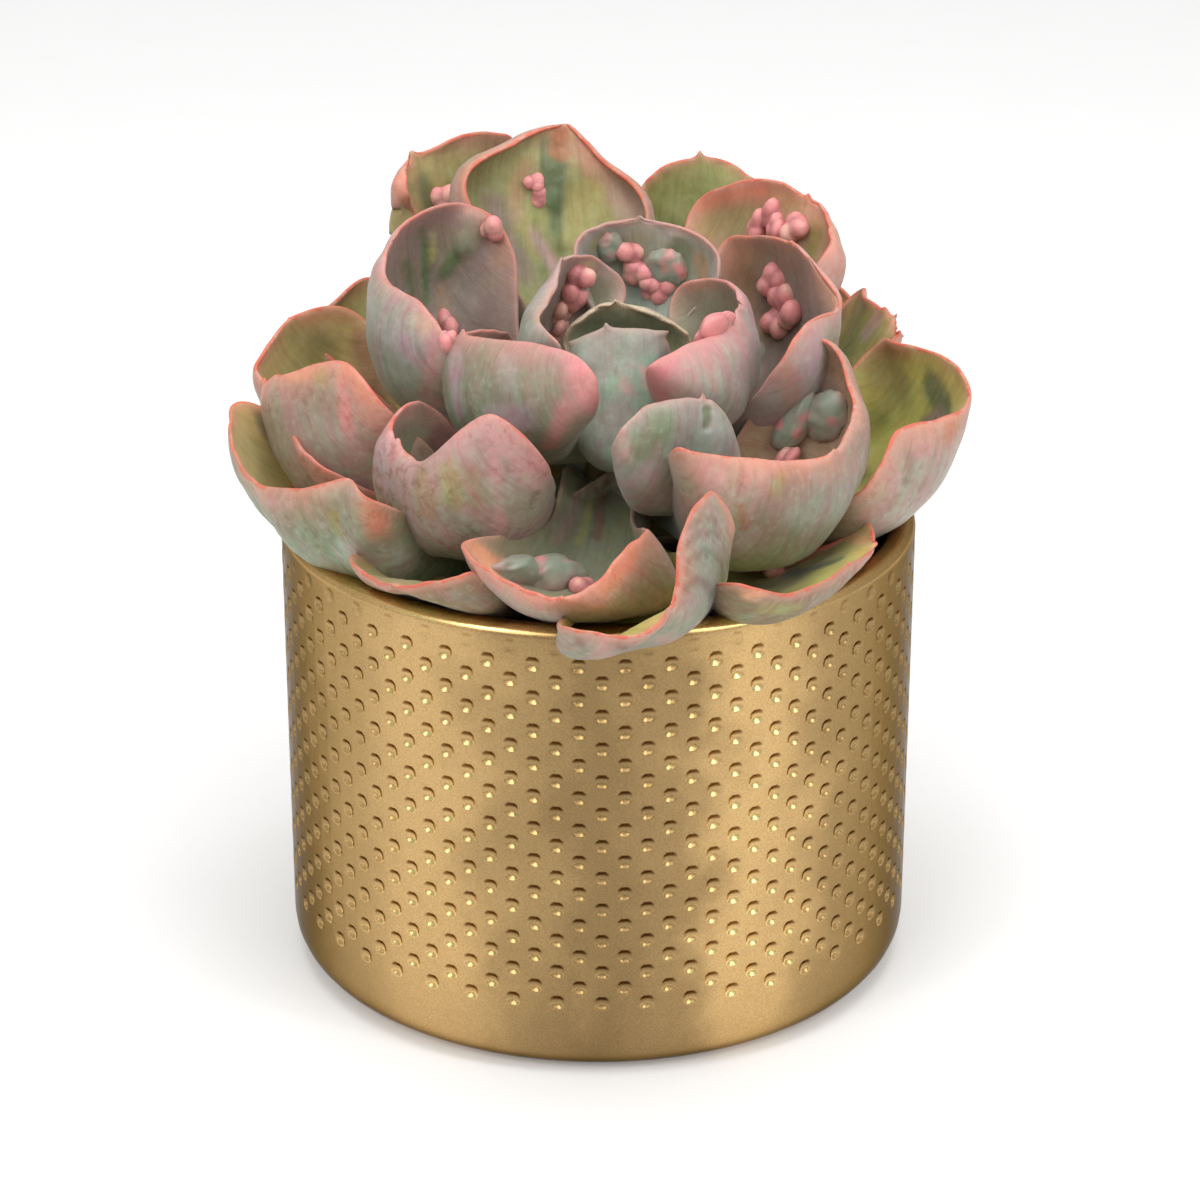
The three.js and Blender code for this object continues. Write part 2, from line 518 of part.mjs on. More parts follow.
// Soil: it fills the pot up to a rough top, with a plain hole for the stem.
function soilSolid() {
  const radius = POT_R - POT_WALL - FIT_GAP;
  const height = SOIL_TOP - POT_FLOOR - FIT_GAP;
  const soil = new THREE.CylinderGeometry(radius, radius, height, 40, 1).rotateX(Math.PI / 2);
  soil.translate(0, 0, POT_FLOOR + FIT_GAP + height / 2);
  let solid = solidOf(soil);
  const crumbs = 6;
  for (let i = 0; i < crumbs; i++) {
    const angle = i * 2.4;
    const away = 14 + (radius - 19) * Math.sqrt((i + 0.5) / crumbs);
    const size = 2.2 + 1.6 * Math.abs(Math.sin(i * 1.7));
    const crumb = new THREE.IcosahedronGeometry(size, 0).scale(1, 1, 0.6).rotateZ(i);
    const z = SOIL_TOP + SOIL_ROUGH * Math.sin(i * 2.1);
    crumb.translate(away * Math.sin(angle), -away * Math.cos(angle), z);
    solid = solid.add(solidOf(crumb));
  }
  return solid;
}

const aroundStem = stemSolid(FIT_GAP);
add("pot", potSolid(), 0xb08d4a, 0.35, 0.9);
add("soil", largest(soilSolid().subtract(aroundStem)), 0x3a2a20, 1, 0);
add("stem", stemSolid(0), 0x7c7f63, 0.8, 0);

// Each leaf keeps clear of the stem, of the pot's rim and of the leaves that lie inside it.
const LEAF_GAP = 0.7;
const TOUCHING_MM3 = 1e-3;
const rooms = [{ room: aroundStem }, { room: rimGuard() }];
for (const leaf of LEAVES) {
  const whole = leafSolid(leaf, 0);
  let kept = whole;
  for (const other of rooms) {
    kept = kept.subtract(other.room);
    if (other.moved && kept.intersect(other.moved).volume() > TOUCHING_MM3)
      kept = kept.subtract(other.moved);
  }
  rooms.push({ room: leafSolid(leaf, LEAF_GAP), moved: moved(whole) });
  add(leaf.name, largest(kept), leaf.color, 0.6, 0);
}

// A leaf's solid together with the leaf moved a little each way.
function moved(whole) {
  let room = whole;
  for (const shift of [[1, 0, 0], [-1, 0, 0], [0, 1, 0], [0, -1, 0], [0, 0, 1], [0, 0, -1]])
    room = room.add(whole.translate(shift.map((s) => s * FIT_GAP)));
  return room;
}

// The pot's wall and the soil, thickened, as one plain body that leaves are kept out of.
function rimGuard() {
  const outside = POT_R + FIT_GAP;
  const inside = POT_R - POT_WALL - FIT_GAP;
  const wall = new THREE.CylinderGeometry(outside, outside, 60, 72, 1).rotateX(Math.PI / 2);
  const hollow = new THREE.CylinderGeometry(inside, inside, 60, 72, 1).rotateX(Math.PI / 2);
  wall.translate(0, 0, POT_H + FIT_GAP - 30);
  hollow.translate(0, 0, SOIL_TOP + 3.5 + FIT_GAP + 30);
  return solidOf(wall).subtract(solidOf(hollow));
}

export default group;
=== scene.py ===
# The potted echeveria: fine leaves, pot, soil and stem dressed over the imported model.
import math

import bmesh
import bpy
import numpy as np
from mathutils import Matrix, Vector, kdtree, noise


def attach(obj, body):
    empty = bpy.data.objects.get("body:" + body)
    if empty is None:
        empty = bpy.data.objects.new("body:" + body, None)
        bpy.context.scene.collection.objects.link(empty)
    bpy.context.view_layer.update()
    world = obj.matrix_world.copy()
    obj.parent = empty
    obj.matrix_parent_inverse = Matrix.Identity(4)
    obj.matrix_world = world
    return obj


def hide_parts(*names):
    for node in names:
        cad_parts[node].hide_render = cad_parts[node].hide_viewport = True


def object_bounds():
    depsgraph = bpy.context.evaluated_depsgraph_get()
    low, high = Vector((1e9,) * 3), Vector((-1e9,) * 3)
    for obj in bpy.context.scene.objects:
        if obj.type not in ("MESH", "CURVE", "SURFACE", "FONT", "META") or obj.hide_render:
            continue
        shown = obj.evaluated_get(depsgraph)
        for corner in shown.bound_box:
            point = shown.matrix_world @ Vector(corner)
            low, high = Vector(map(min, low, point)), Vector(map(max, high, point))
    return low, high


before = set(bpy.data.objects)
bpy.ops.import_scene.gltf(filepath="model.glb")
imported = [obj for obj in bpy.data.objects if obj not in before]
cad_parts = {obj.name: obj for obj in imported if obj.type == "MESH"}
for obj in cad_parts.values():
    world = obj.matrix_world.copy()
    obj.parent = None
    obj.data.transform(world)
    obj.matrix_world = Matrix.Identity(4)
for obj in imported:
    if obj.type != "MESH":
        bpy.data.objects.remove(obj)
cad_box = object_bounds()

MM = 0.001
RAD = math.pi / 180
FULL_TURN = 2 * math.pi

# The camera at the photograph's angle, in metres and degrees
SENSOR_MM = 36
LENS_MM = 105
NEAREST_SEEN = 0.01
CAMERA_PLACE = (0.00038, -0.7213, 0.3855)
CAMERA_TILT = 67.15


def add_object(name, data):
    obj = bpy.data.objects.new(name, data)
    bpy.context.scene.collection.objects.link(obj)
    return obj


camera_data = bpy.data.cameras.new("camera")
camera_data.sensor_width = SENSOR_MM
camera_data.lens = LENS_MM
camera_data.clip_start = NEAREST_SEEN
camera = add_object("camera", camera_data)
camera.location = CAMERA_PLACE
camera.rotation_euler = (CAMERA_TILT * RAD, 0, 0)
bpy.context.scene.camera = camera

# The leaves in millimetres and degrees, in the order of the solids.
# tip: where the leaf ends; at: how far up the stem its root is; az: where it points, if not at its tip.
# pitch: how steeply its rib leaves the root and reaches the tip; reach: how far along each of them carries.
# cw, acw: what its clockwise and anticlockwise margins run through; thick: the thickness at the root.
# neck: how far from the root the blade stays narrow, and how narrow; hug: how far each side bulges and
# how far it turns in at the margin; curl: the turn there.
# lumps: growths, by place along and across the blade, radius, and height above it.
LEAVES = {
    "heart_front": dict(tip=[1.4, -13, 149.5], at=0.9, pitch=[-10, 105], az=0,
         thick=3.6, reach=[1.2, 0.6], cw=[[-8, -12, 133], [-6, -12, 145]],
         acw=[[16, -10, 134], [14, -10, 147]]),
    "heart_hood": dict(tip=[3.8, -1, 151.4], at=0.98, pitch=[70, 125], az=178,
         thick=3, reach=[0.7, 0.7], cw=[[20, -3, 141], [16, -4, 148]],
         acw=[[-7, -3, 142], [-3, -4, 149]]),
    "inner_left": dict(tip=[-8.3, 2, 159.7], at=0.93, pitch=[5, 115], az=-95,
         thick=3.6, reach=[0.8, 0.5], cw=[[6, 10, 149], [1, 10, 157], [-4, 6, 160]],
         acw=[[-8, -22, 148], [-12, -14, 152], [-9, -5, 156]],
         lumps=[[0.63, -0.74, 2.3, 1.9], [0.54, -0.63, 2.4, 2], [0.49, -0.51, 2.2, 1.7],
         [0.41, -0.48, 2, 1.5]]),
    "inner_back": dict(tip=[9.1, 18, 164.3], at=0.92, pitch=[30, 110],
         reach=[0.5, 0.5], cw=[[26, 8, 155], [20, 14, 163]], acw=[[-5, 8, 159], [0, 14, 164]],
         lumps=[[0.65, 0.53, 3.2, 1.8], [0.68, 0.14, 2.3, 1.8], [0.59, 0.02, 2.5, 2],
         [0.52, -0.08, 2.1, 1.6], [0.6, -0.27, 4.4, 2.2], [0.51, -0.19, 2.4, 1.6]]),
    "inner_right": dict(tip=[29.9, -8, 151], at=0.9, pitch=[5, 115], az=80,
         reach=[0.7, 0.5], cw=[[10, -32, 146], [16, -28, 150], [24, -17, 150]],
         acw=[[16, 8, 150], [24, 5, 155], [29, -2, 155]],
         lumps=[[0.81, -1, 2.8, -1.8], [0.88, -1, 2, -1.6]]),
    "mid_left_front": dict(tip=[-28.9, -16, 149.2], at=0.85, pitch=[0, 110],
         az=-62, reach=[0.7, 0.5], cw=[[-18, 0, 142], [-21, -4, 146], [-26, -10, 148]],
         acw=[[0, -38, 143], [-4, -36, 151], [-18, -26, 151]]),
    "mid_front": dict(tip=[21.7, -38, 142.6], at=0.8, pitch=[-15, 105], az=22,
         reach=[0.7, 0.5], cw=[[3, -50, 137], [9, -48, 144], [16, -42, 144]],
         acw=[[28, -28, 124], [28, -32, 134], [24, -36, 141]]),
    "left_front": dict(tip=[-42, -36, 132], at=0.72, pitch=[-20, 105],
         reach=[0.7, 0.5], cw=[[-34, -16, 132], [-39, -24, 137], [-43, -31, 135]],
         acw=[[-10, -46, 131], [-22, -48, 143], [-35, -42, 130]]),
    "left": dict(tip=[-45.3, 10, 160.6], at=0.76, pitch=[0, 110],
         reach=[0.6, 0.5], cw=[[-19, 26, 155], [-29, 28, 165], [-41, 18, 164]],
         acw=[[-31, -14, 146], [-37, -8, 153], [-45, 2, 155]],
         lumps=[[0.45, -0.46, 2.3, 1.4], [0.42, 1, 1.9, -1.2], [0.48, -0.96, 2.2, 1]]),
    "back_left_top": dict(tip=[-7.5, 50, 176.8], at=0.7, pitch=[25, 80],
         hug=[[0.45, 0.5], [0.45, 0.5]], curl=[112, 112], cw=[[11, 44, 157], [0, 47, 170]],
         acw=[[-29, 38, 164], [-18, 45, 174]], lumps=[[0.66, 0.3, 1.9, 1.2], [0.63, 0.22, 2.1, 1.3]]),
    "right": dict(tip=[46.4, 8, 157.8], at=0.74, pitch=[5, 105],
         reach=[0.6, 0.5], cw=[[37, -22, 143], [43, -18, 152], [52, -4, 152]],
         acw=[[26, 28, 153], [34, 24, 159], [42, 14, 161]],
         lumps=[[0.57, 0.67, 2.6, 1.8], [0.58, 0.52, 2.8, 2.2], [0.51, 0.43, 2.6, 1.8],
         [0.6, 0.36, 2.6, 1.8]]),
    "right_front": dict(tip=[48.9, -38, 130.3], at=0.7, pitch=[-20, 90],
         reach=[0.7, 0.5], hug=[[0.45, 0.38], [0.35, 0.3]], curl=[32, 80],
         cw=[[15, -50, 136], [24, -50, 135], [38, -44, 131]],
         acw=[[45, -14, 147], [53, -22, 139], [52, -32, 134]],
         lumps=[[0.34, 0.68, 5.8, 3.0], [0.42, 0.62, 5.4, 2.8], [0.34, 0.5, 2.8, 3.6]]),
    "back_left": dict(tip=[-42.3, 50, 169.8], at=0.62, pitch=[15, 85],
         hug=[[0.45, 0.38], [0.6, 0.5]], curl=[32, 110], cw=[[-17, 64, 162], [-24, 62, 172]],
         acw=[[-39, 46, 152], [-43, 42, 164]], lumps=[[0.72, -0.19, 2.6, 2]]),
    "back_right": dict(tip=[23.6, 66, 165.3], at=0.58, pitch=[15, 80],
         cw=[[39, 62, 152], [34, 68, 161]], acw=[[9, 58, 153], [13, 65, 162]]),
    "back_right_2": dict(tip=[47.3, 42, 162.1], at=0.66, pitch=[15, 85],
         hug=[[0.3, 0.35], [0.45, 0.38]], curl=[80, 32],
         cw=[[49, 28, 151], [52, 33, 158], [50, 38, 161]],
         acw=[[20, 54, 153], [31, 52, 163], [41, 46, 165]],
         lumps=[[0.65, 0.61, 2.6, 1.8], [0.72, 0.57, 2.8, 2], [0.74, 0.39, 2.2, 1.8],
         [0.81, 0.03, 2.8, 2]]),
    "far_right": dict(tip=[79.9, -8, 131.3], at=0.52, pitch=[-10, 80],
         cw=[[55, -30, 119], [63, -26, 131], [72, -18, 131]],
         acw=[[60, 18, 134], [67, 12, 138], [77, 0, 137]]),
    "far_right_back": dict(tip=[66.4, 30, 137.8], at=0.54, pitch=[5, 60],
         hug=[[0.2, 0.2], [0.45, 0.38]], curl=[10, 32], cw=[[65, 27, 133], [67, 28, 135]],
         acw=[[57, 46, 137], [61, 38, 140]]),
    "far_left": dict(tip=[-72.4, -2, 133.5], at=0.56, pitch=[-5, 90],
         cw=[[-52, 20, 141], [-66, 14, 144], [-74, 4, 138]],
         acw=[[-44, -24, 135], [-54, -18, 144], [-67, -9, 138]]),
    "far_left_low": dict(tip=[-73, -30, 121], at=0.48, pitch=[-12, 65],
         cw=[[-73, -4, 129], [-79, -14, 129], [-77, -24, 126]],
         acw=[[-46, -48, 124], [-52, -46, 128], [-62, -40, 124]]),
    "far_left_mid": dict(tip=[-66, -14, 127.1], at=0.44, pitch=[-5, 60],
         cw=[[-64, -4, 128]], acw=[[-56, -26, 122]]),
    "low_left_front": dict(tip=[-41.4, -64, 112], at=0.36, pitch=[-15, 25],
         cw=[[-50, -44, 110], [-47, -54, 110]], acw=[[-22, -66, 115], [-32, -70, 115]]),
    "low_front": dict(tip=[-7, -80, 115.2], at=0.72, pitch=[-28, 35], az=-4,
         reach=[0.5, 0.36], neck=[0.3, 0.5], hug=[[0.4, 0.38], [0.8, 0.5]], curl=[25, 55],
         cw=[[-27, -60, 120], [-22, -74, 119], [-14, -80, 117]],
         acw=[[10, -60, 122], [6, -70, 123], [0, -78, 119]],
         lumps=[[0.38, -0.56, 5.6, 3.4], [0.35, -0.28, 6.2, 3.6], [0.4, -0.02, 2.4, 2.0]]),
    "front_curl": dict(tip=[13.7, -86, 116], at=0.5, pitch=[-10, 48], az=13,
         reach=[0.5, 0.36], neck=[0.28, 0.31], hug=[[0.6, 0.4], [0.42, 0.34]], curl=[30, 24],
         cw=[[-8, -80, 110], [0, -90, 112], [8, -91, 113]],
         acw=[[27, -58, 121], [23, -66, 133], [17, -80, 130]]),
    "low_right_front": dict(tip=[57.8, -36, 109.3], at=0.36, pitch=[-15, 35],
         cw=[[26, -72, 116], [39, -68, 112], [52, -52, 111]],
         acw=[[49, -8, 107], [54, -18, 111], [58, -28, 111]],
         lumps=[[0.36, 0.34, 2.0, 3.4], [0.45, 0.4, 2.4, 3.8], [0.42, 0.2, 1.9, 3.0]]),
    "low_right": dict(tip=[61.8, -14, 106], at=0.34, pitch=[-10, 30],
         cw=[[56, -26, 108]], acw=[[59, -2, 105]]),
    "behind_left": dict(tip=[-63.8, 38, 135.2], at=0.5, pitch=[0, 75],
         cw=[[-49, 52, 139]], acw=[[-66, 20, 138]]),
    "behind_mid_left": dict(tip=[-30.2, 76, 140.1], at=0.46, pitch=[0, 70],
         cw=[[-13, 72, 147]], acw=[[-44, 64, 146]]),
    "behind_mid_right": dict(tip=[29.9, 78, 138.2], at=0.48, pitch=[0, 70],
         cw=[[46, 66, 144]], acw=[[12, 76, 144]]),
    "behind_right": dict(tip=[63.8, 56, 127.8], at=0.44, pitch=[0, 65],
         cw=[[65, 40, 129]], acw=[[49, 64, 135]]),
    "low_behind": dict(tip=[-0.1, 72, 112.2], at=0.32, pitch=[-5, 30],
         cw=[[16, 62, 113]], acw=[[-17, 62, 113]]),
    "low_behind_left": dict(tip=[-52.1, 48, 110.1], at=0.33, pitch=[-5, 30],
         cw=[[-38, 56, 112]], acw=[[-58, 30, 112]]),
    "low_behind_right": dict(tip=[51.8, 50, 110.1], at=0.35, pitch=[-5, 30],
         cw=[[58, 32, 111]], acw=[[38, 58, 111]]),
    "low_left": dict(tip=[-66.1, -6, 112], at=0.38, pitch=[-8, 35],
         cw=[[-61, 8, 115]], acw=[[-59, -22, 113]]),
}

# Colours as they look on a screen, 0 to 255
GREEN = (98, 118, 84)
MOSS = (130, 138, 78)
OLIVE = (150, 152, 100)
LIME = (166, 164, 104)
MUSTARD = (146, 130, 70)
SAGE = (134, 140, 114)
MINT = (154, 162, 148)
PEWTER = (166, 164, 154)
LILAC = (176, 164, 166)
ORCHID = (180, 156, 162)
MAUVE = (142, 128, 116)
DUSK = (104, 88, 74)
DUSTY = (154, 138, 126)
WINE = (132, 92, 88)
BROWN = (158, 132, 104)
RUST = (150, 96, 56)
TAN = (168, 144, 116)
CLAY = (168, 153, 141)
ROSE = (188, 156, 150)
PINK = (218, 140, 142)
CORAL = (220, 138, 112)
APRICOT = (236, 176, 134)
CREAM = (214, 196, 158)
STRAW = (190, 176, 116)
STONE = (150, 149, 136)
UMBER = (136, 122, 98)
CITRON = (188, 184, 104)
EMBER = (196, 116, 86)
KNOB_PINK = (224, 146, 144)
KNOB_PALE = (230, 176, 160)
PAD_GREEN = (148, 160, 142)
# Painted shade in the creases between the knobs of the growths
PAD_RIM = (196, 140, 138)
CREASE_SHADE = (150, 92, 96)
BLOOM = (190, 192, 184)
MARGIN_GLOW = (216, 156, 138)
MARGIN_LINE = (208, 100, 78)
DARK_GOLD = (176, 145, 98)
LIGHT_GOLD = (192, 160, 110)
DARK_SOIL = (28, 20, 15)
LIGHT_SOIL = (78, 58, 42)
BARK_CHIPS = (112, 82, 54)
DARK_BARK = (88, 84, 56)
LIGHT_BARK = (138, 122, 84)

# How each leaf is coloured: its skin inside and outside, the blush of its margins, how strong that is on
# the clockwise and on the anticlockwise side, how far in it reaches in millimetres, how strong the line
# along the margin is, and how mottled the outside is.
LOOKS = {
    "heart_front": (SAGE, MINT, ROSE, (0.3, 0.3), 3, 0.15, 0.1),
    "heart_hood": (SAGE, MINT, CREAM, (0.7, 0.7), 2.2, 0.08, 0.1),
    "inner_left": (DUSTY, PEWTER, ROSE, (0.7, 0.6), 4, 0.3, 0.1),
    "inner_back": (MINT, PEWTER, ROSE, (0.6, 0.6), 3.5, 0.25, 0.1),
    "inner_right": (SAGE, PEWTER, PINK, (0.9, 0.5), 5, 0.3, 0.15),
    "mid_left_front": (MAUVE, SAGE, PINK, (0.4, 0.8), 5, 0.3, 0.2),
    "mid_front": (SAGE, PEWTER, ROSE, (0.4, 0.4), 4, 0.22, 0.25),
    "left_front": (SAGE, CLAY, PINK, (0.7, 0.7), 4.5, 0.55, 0.9),
    "left": (MAUVE, PEWTER, PINK, (0.5, 0.6), 4, 0.45, 0.3),
    "back_left_top": (OLIVE, CLAY, CORAL, (0.6, 0.5), 3.5, 0.75, 0.4),
    "right": (MAUVE, LILAC, CORAL, (0.5, 0.6), 5, 0.5, 0.3),
    "right_front": (TAN, STONE, CORAL, (0.7, 0.6), 5, 0.75, 0.35),
    "back_left": (OLIVE, CLAY, CORAL, (0.4, 0.6), 4, 0.7, 0.4),
    "back_right": (MOSS, CLAY, CORAL, (0.3, 0.3), 3, 0.8, 0.2),
    "back_right_2": (TAN, CLAY, CORAL, (0.6, 0.7), 6, 0.65, 0.2),
    "far_right": (CITRON, CLAY, CORAL, (0.7, 0.45), 4.5, 0.95, 0.4),
    "far_right_back": (MOSS, CLAY, CORAL, (0.5, 0.5), 3.5, 0.9, 0.3),
    "far_left": (STRAW, CLAY, CORAL, (0.5, 0.9), 5, 0.75, 0.6),
    "far_left_low": (STRAW, SAGE, CORAL, (0.5, 0.6), 4, 0.7, 0.5),
    "far_left_mid": (CLAY, ROSE, CORAL, (0.6, 0.6), 6, 0.45, 1.0),
    "low_left_front": (OLIVE, UMBER, EMBER, (0.5, 0.5), 3.5, 0.7, 0.5),
    "low_front": (SAGE, CLAY, CORAL, (0.9, 0.8), 5.5, 0.6, 0.4),
    "front_curl": (CITRON, STONE, CORAL, (0.5, 0.6), 3.5, 0.7, 0.3),
    "low_right_front": (CITRON, UMBER, EMBER, (0.5, 0.5), 3, 0.95, 0.5),
    "low_right": (MOSS, CLAY, CORAL, (0.8, 0.8), 6, 0.9, 0.4),
    "behind_left": (OLIVE, PEWTER, CORAL, (0.5, 0.5), 4, 0.9, 0.4),
    "behind_mid_left": (MOSS, LILAC, CORAL, (0.5, 0.6), 5, 0.8, 0.4),
    "behind_mid_right": (OLIVE, CLAY, PINK, (0.6, 0.5), 6, 0.8, 0.4),
    "behind_right": (LIME, CLAY, CORAL, (0.6, 0.6), 5, 0.9, 0.4),
    "low_behind": (OLIVE, PEWTER, CORAL, (0.5, 0.5), 4, 0.9, 0.5),
    "low_behind_left": (MOSS, CLAY, CORAL, (0.5, 0.5), 4, 0.9, 0.5),
    "low_behind_right": (OLIVE, CLAY, CORAL, (0.5, 0.5), 4, 0.9, 0.5),
    "low_left": (OLIVE, PEWTER, CORAL, (0.5, 0.5), 4, 0.9, 0.5),
}

# Fine points that stand out of a margin: where, from -1 at the root's clockwise side through 0 at the tip
# to 1, how far in millimetres, and how wide.
TEETH = {
    "heart_front": [(0.26, 1.8, 0.022), (-0.24, 1.0, 0.03)],
    "heart_hood": [(0.12, 1.2, 0.03), (-0.2, 1.3, 0.03), (-0.38, 0.8, 0.03)],
    "inner_left": [(0.3, 0.6, 0.03)],
    "inner_right": [(0.04, 1.2, 0.03)],
    "left_front": [(0.1, 1.0, 0.03), (0.2, 0.8, 0.02), (-0.1, 0.9, 0.03)],
    "left": [(-0.2, 0.8, 0.03), (0.2, 0.6, 0.03)],
    "right": [(0.16, 1.0, 0.03), (-0.15, 0.7, 0.04)],
    "right_front": [(0.2, 0.8, 0.03)],
    "far_right_back": [(0.08, 1.2, 0.03)],
    "far_left": [(0.12, 1.6, 0.04)],
}

# Washes of colour on the inner and on the outer face of a leaf: the start and the end of the stroke as places
# along and across the blade, its half width in millimetres, the colour, its strength, and for some how far
# it stands up in millimetres.
INNER_WASHES = {
    "back_left": [
        ((0.6, -0.9), (0.78, -0.89), 5.7, TAN, 0.7), ((0.79, -0.37), (0.7, -0.66), 6.6, LIME, 0.35),
        ((0.84, -0.06), (0.69, -0.08), 3.5, GREEN, 0.55),
    ],
    "back_left_top": [
        ((0.86, 0.41), (0.74, 0.21), 2, GREEN, 0.9, 0.3),
        ((0.75, 0.18), (0.64, 0.14), 3.5, GREEN, 0.95, 0.9),
        ((0.64, 0.13), (0.52, 0.06), 2, GREEN, 0.9, 0.5), ((0.95, 0.28), (0.83, 0.09), 2.6, RUST, 0.8),
        ((0.8, -0.53), (0.67, -0.51), 4.8, TAN, 0.8), ((0.58, -0.56), (0.51, -0.6), 5.7, CLAY, 0.8),
        ((0.64, -0.22), (0.54, -0.04), 5.3, LIME, 0.8), ((0.62, 0.43), (0.48, 0.2), 2.6, LIME, 0.6),
        ((0.69, 0.44), (0.55, 0.33), 3.1, TAN, 0.5), ((0.53, 0.21), (0.45, 0.08), 2.2, ROSE, 0.6),
        ((0.54, 0.46), (0.43, 0.29), 4.4, MAUVE, 0.6),
    ],
    "back_right": [
        ((0.7, 0.47), (0.85, -0.03), 7.5, MOSS, 0.5), ((0.68, 0.22), (0.72, -0.91), 5.3, OLIVE, 0.5),
    ],
    "back_right_2": [
        ((0.47, 0.97), (0.69, 0.9), 4, CORAL, 0.75), ((0.49, 0.82), (0.61, 0.73), 5.7, OLIVE, 0.55),
        ((0.77, 0.77), (0.89, 0.41), 4, OLIVE, 0.4), ((0.76, -0.47), (0.7, -0.26), 3.1, MOSS, 0.6),
    ],
    "left": [
        ((0.69, -0.78), (0.54, -0.44), 1.5, GREEN, 0.9), ((0.64, -0.76), (0.59, -0.63), 1.3, LIME, 0.5, 0.5),
        ((0.53, -0.84), (0.53, -0.64), 2, GREEN, 0.85, 0.4),
        ((0.55, -0.96), (0.52, -0.83), 3.7, SAGE, 0.9, 1.3), ((0.47, -1.0), (0.41, -0.94), 4.4, BROWN, 0.55),
        ((0.7, -0.48), (0.61, -0.39), 2.2, GREEN, 0.5), ((0.51, -0.56), (0.45, -0.44), 2.6, TAN, 0.4),
        ((0.75, -0.71), (0.73, -0.56), 2.6, MAUVE, 0.6),
    ],
    "inner_left": [
        ((0.68, -0.84), (0.6, -0.87), 2.6, CREAM, 0.7), ((0.47, -0.82), (0.42, -0.8), 4, SAGE, 0.8),
    ],
    "inner_back": [
        ((0.69, -0.7), (0.59, -0.22), 3.5, GREEN, 0.6, 0.7), ((0.54, -0.72), (0.49, -0.72), 3.1, TAN, 0.7),
        ((0.8, 0.02), (0.66, 0.28), 4.8, SAGE, 0.5), ((0.67, 0.73), (0.6, 0.72), 3.1, OLIVE, 0.6),
    ],
    "inner_right": [
        ((0.45, 0.89), (0.56, 0.8), 5.7, SAGE, 0.8), ((0.49, 0.97), (0.59, 0.96), 2.2, TAN, 0.7),
    ],
    "left_front": [
        ((0.51, -0.81), (0.45, -0.71), 3.1, SAGE, 0.9), ((0.39, -0.83), (0.34, -0.87), 4.8, DUSK, 0.9),
    ],
    "far_left": [
        ((0.58, -0.88), (0.52, -0.79), 5.7, OLIVE, 0.8), ((0.64, -0.81), (0.49, -0.76), 4.4, LIME, 0.5),
        ((0.41, -0.89), (0.38, -0.69), 4.4, BROWN, 0.6), ((0.59, -0.97), (0.43, -0.96), 2.2, RUST, 0.3),
    ],
    "far_left_low": [
        ((0.42, -0.94), (0.42, -0.8), 2, GREEN, 0.6), ((0.4, -0.79), (0.37, -0.7), 3.1, LIME, 0.5),
        ((0.3, -0.66), (0.25, -0.43), 4.8, SAGE, 0.7), ((0.3, -0.59), (0.26, -0.67), 1.1, MAUVE, 0.5),
    ],
    "low_left_front": [
        ((0.37, -0.94), (0.3, -1.0), 4.4, MOSS, 0.7), ((0.28, -1.0), (0.26, -1.0), 3.1, MAUVE, 0.7),
    ],
    "low_front": [
        ((0.4, -0.93), (0.4, -0.62), 4.8, APRICOT, 1), ((0.03, -0.36), (0.2, -0.41), 1.8, LIME, 0.4),
        ((0.02, -0.16), (0.18, -0.12), 2.2, WINE, 0.4), ((0.1, -0.7), (0.22, -0.74), 2.6, DUSTY, 0.6),
    ],
    "front_curl": [
        ((0.28, 0.0), (0.36, -0.1), 5.7, SAGE, 0.6), ((0.22, 0.59), (0.28, 0.1), 3.5, LIME, 0.35),
    ],
    "right_front": [
        ((0.39, 0.84), (0.42, 0.67), 3.1, CLAY, 0.7), ((0.45, 0.71), (0.46, 0.57), 2.6, MAUVE, 0.6),
    ],
    "right": [
        ((0.47, 0.87), (0.42, 0.7), 5.7, BROWN, 0.7), ((0.42, 0.53), (0.36, 0.48), 3.5, TAN, 0.6),
        ((0.68, 0.87), (0.58, 0.79), 3.5, SAGE, 0.4), ((0.31, 0.48), (0.35, 0.19), 3.5, DUSK, 0.7),
    ],
    "far_right": [
        ((0.44, 0.89), (0.53, 0.77), 5.7, LIME, 0.95), ((0.49, 0.97), (0.6, 0.96), 3.5, RUST, 0.45),
        ((0.68, 0.73), (0.73, 0.51), 4.8, GREEN, 0.75), ((0.38, 0.61), (0.45, 0.63), 4.8, MOSS, 0.6),
        ((0.35, 0.37), (0.42, 0.36), 3.1, GREEN, 0.5), ((0.64, 0.49), (0.71, 0.49), 2.6, MAUVE, 0.8),
    ],
    "far_right_back": [
        ((0.5, 0.88), (0.7, 0.58), 3.5, MOSS, 0.7), ((0.84, 0.61), (0.77, 0.36), 2.6, MAUVE, 0.8),
    ],
    "low_right_front": [
        ((0.33, 0.78), (0.56, 0.73), 5.7, SAGE, 0.7), ((0.48, 0.1), (0.78, -0.2), 2.6, GREEN, 0.8),
        ((0.69, 0.67), (0.84, 0.4), 3.1, APRICOT, 0.6), ((0.28, 0.64), (0.29, 0.83), 3.1, GREEN, 0.5),
    ],
}
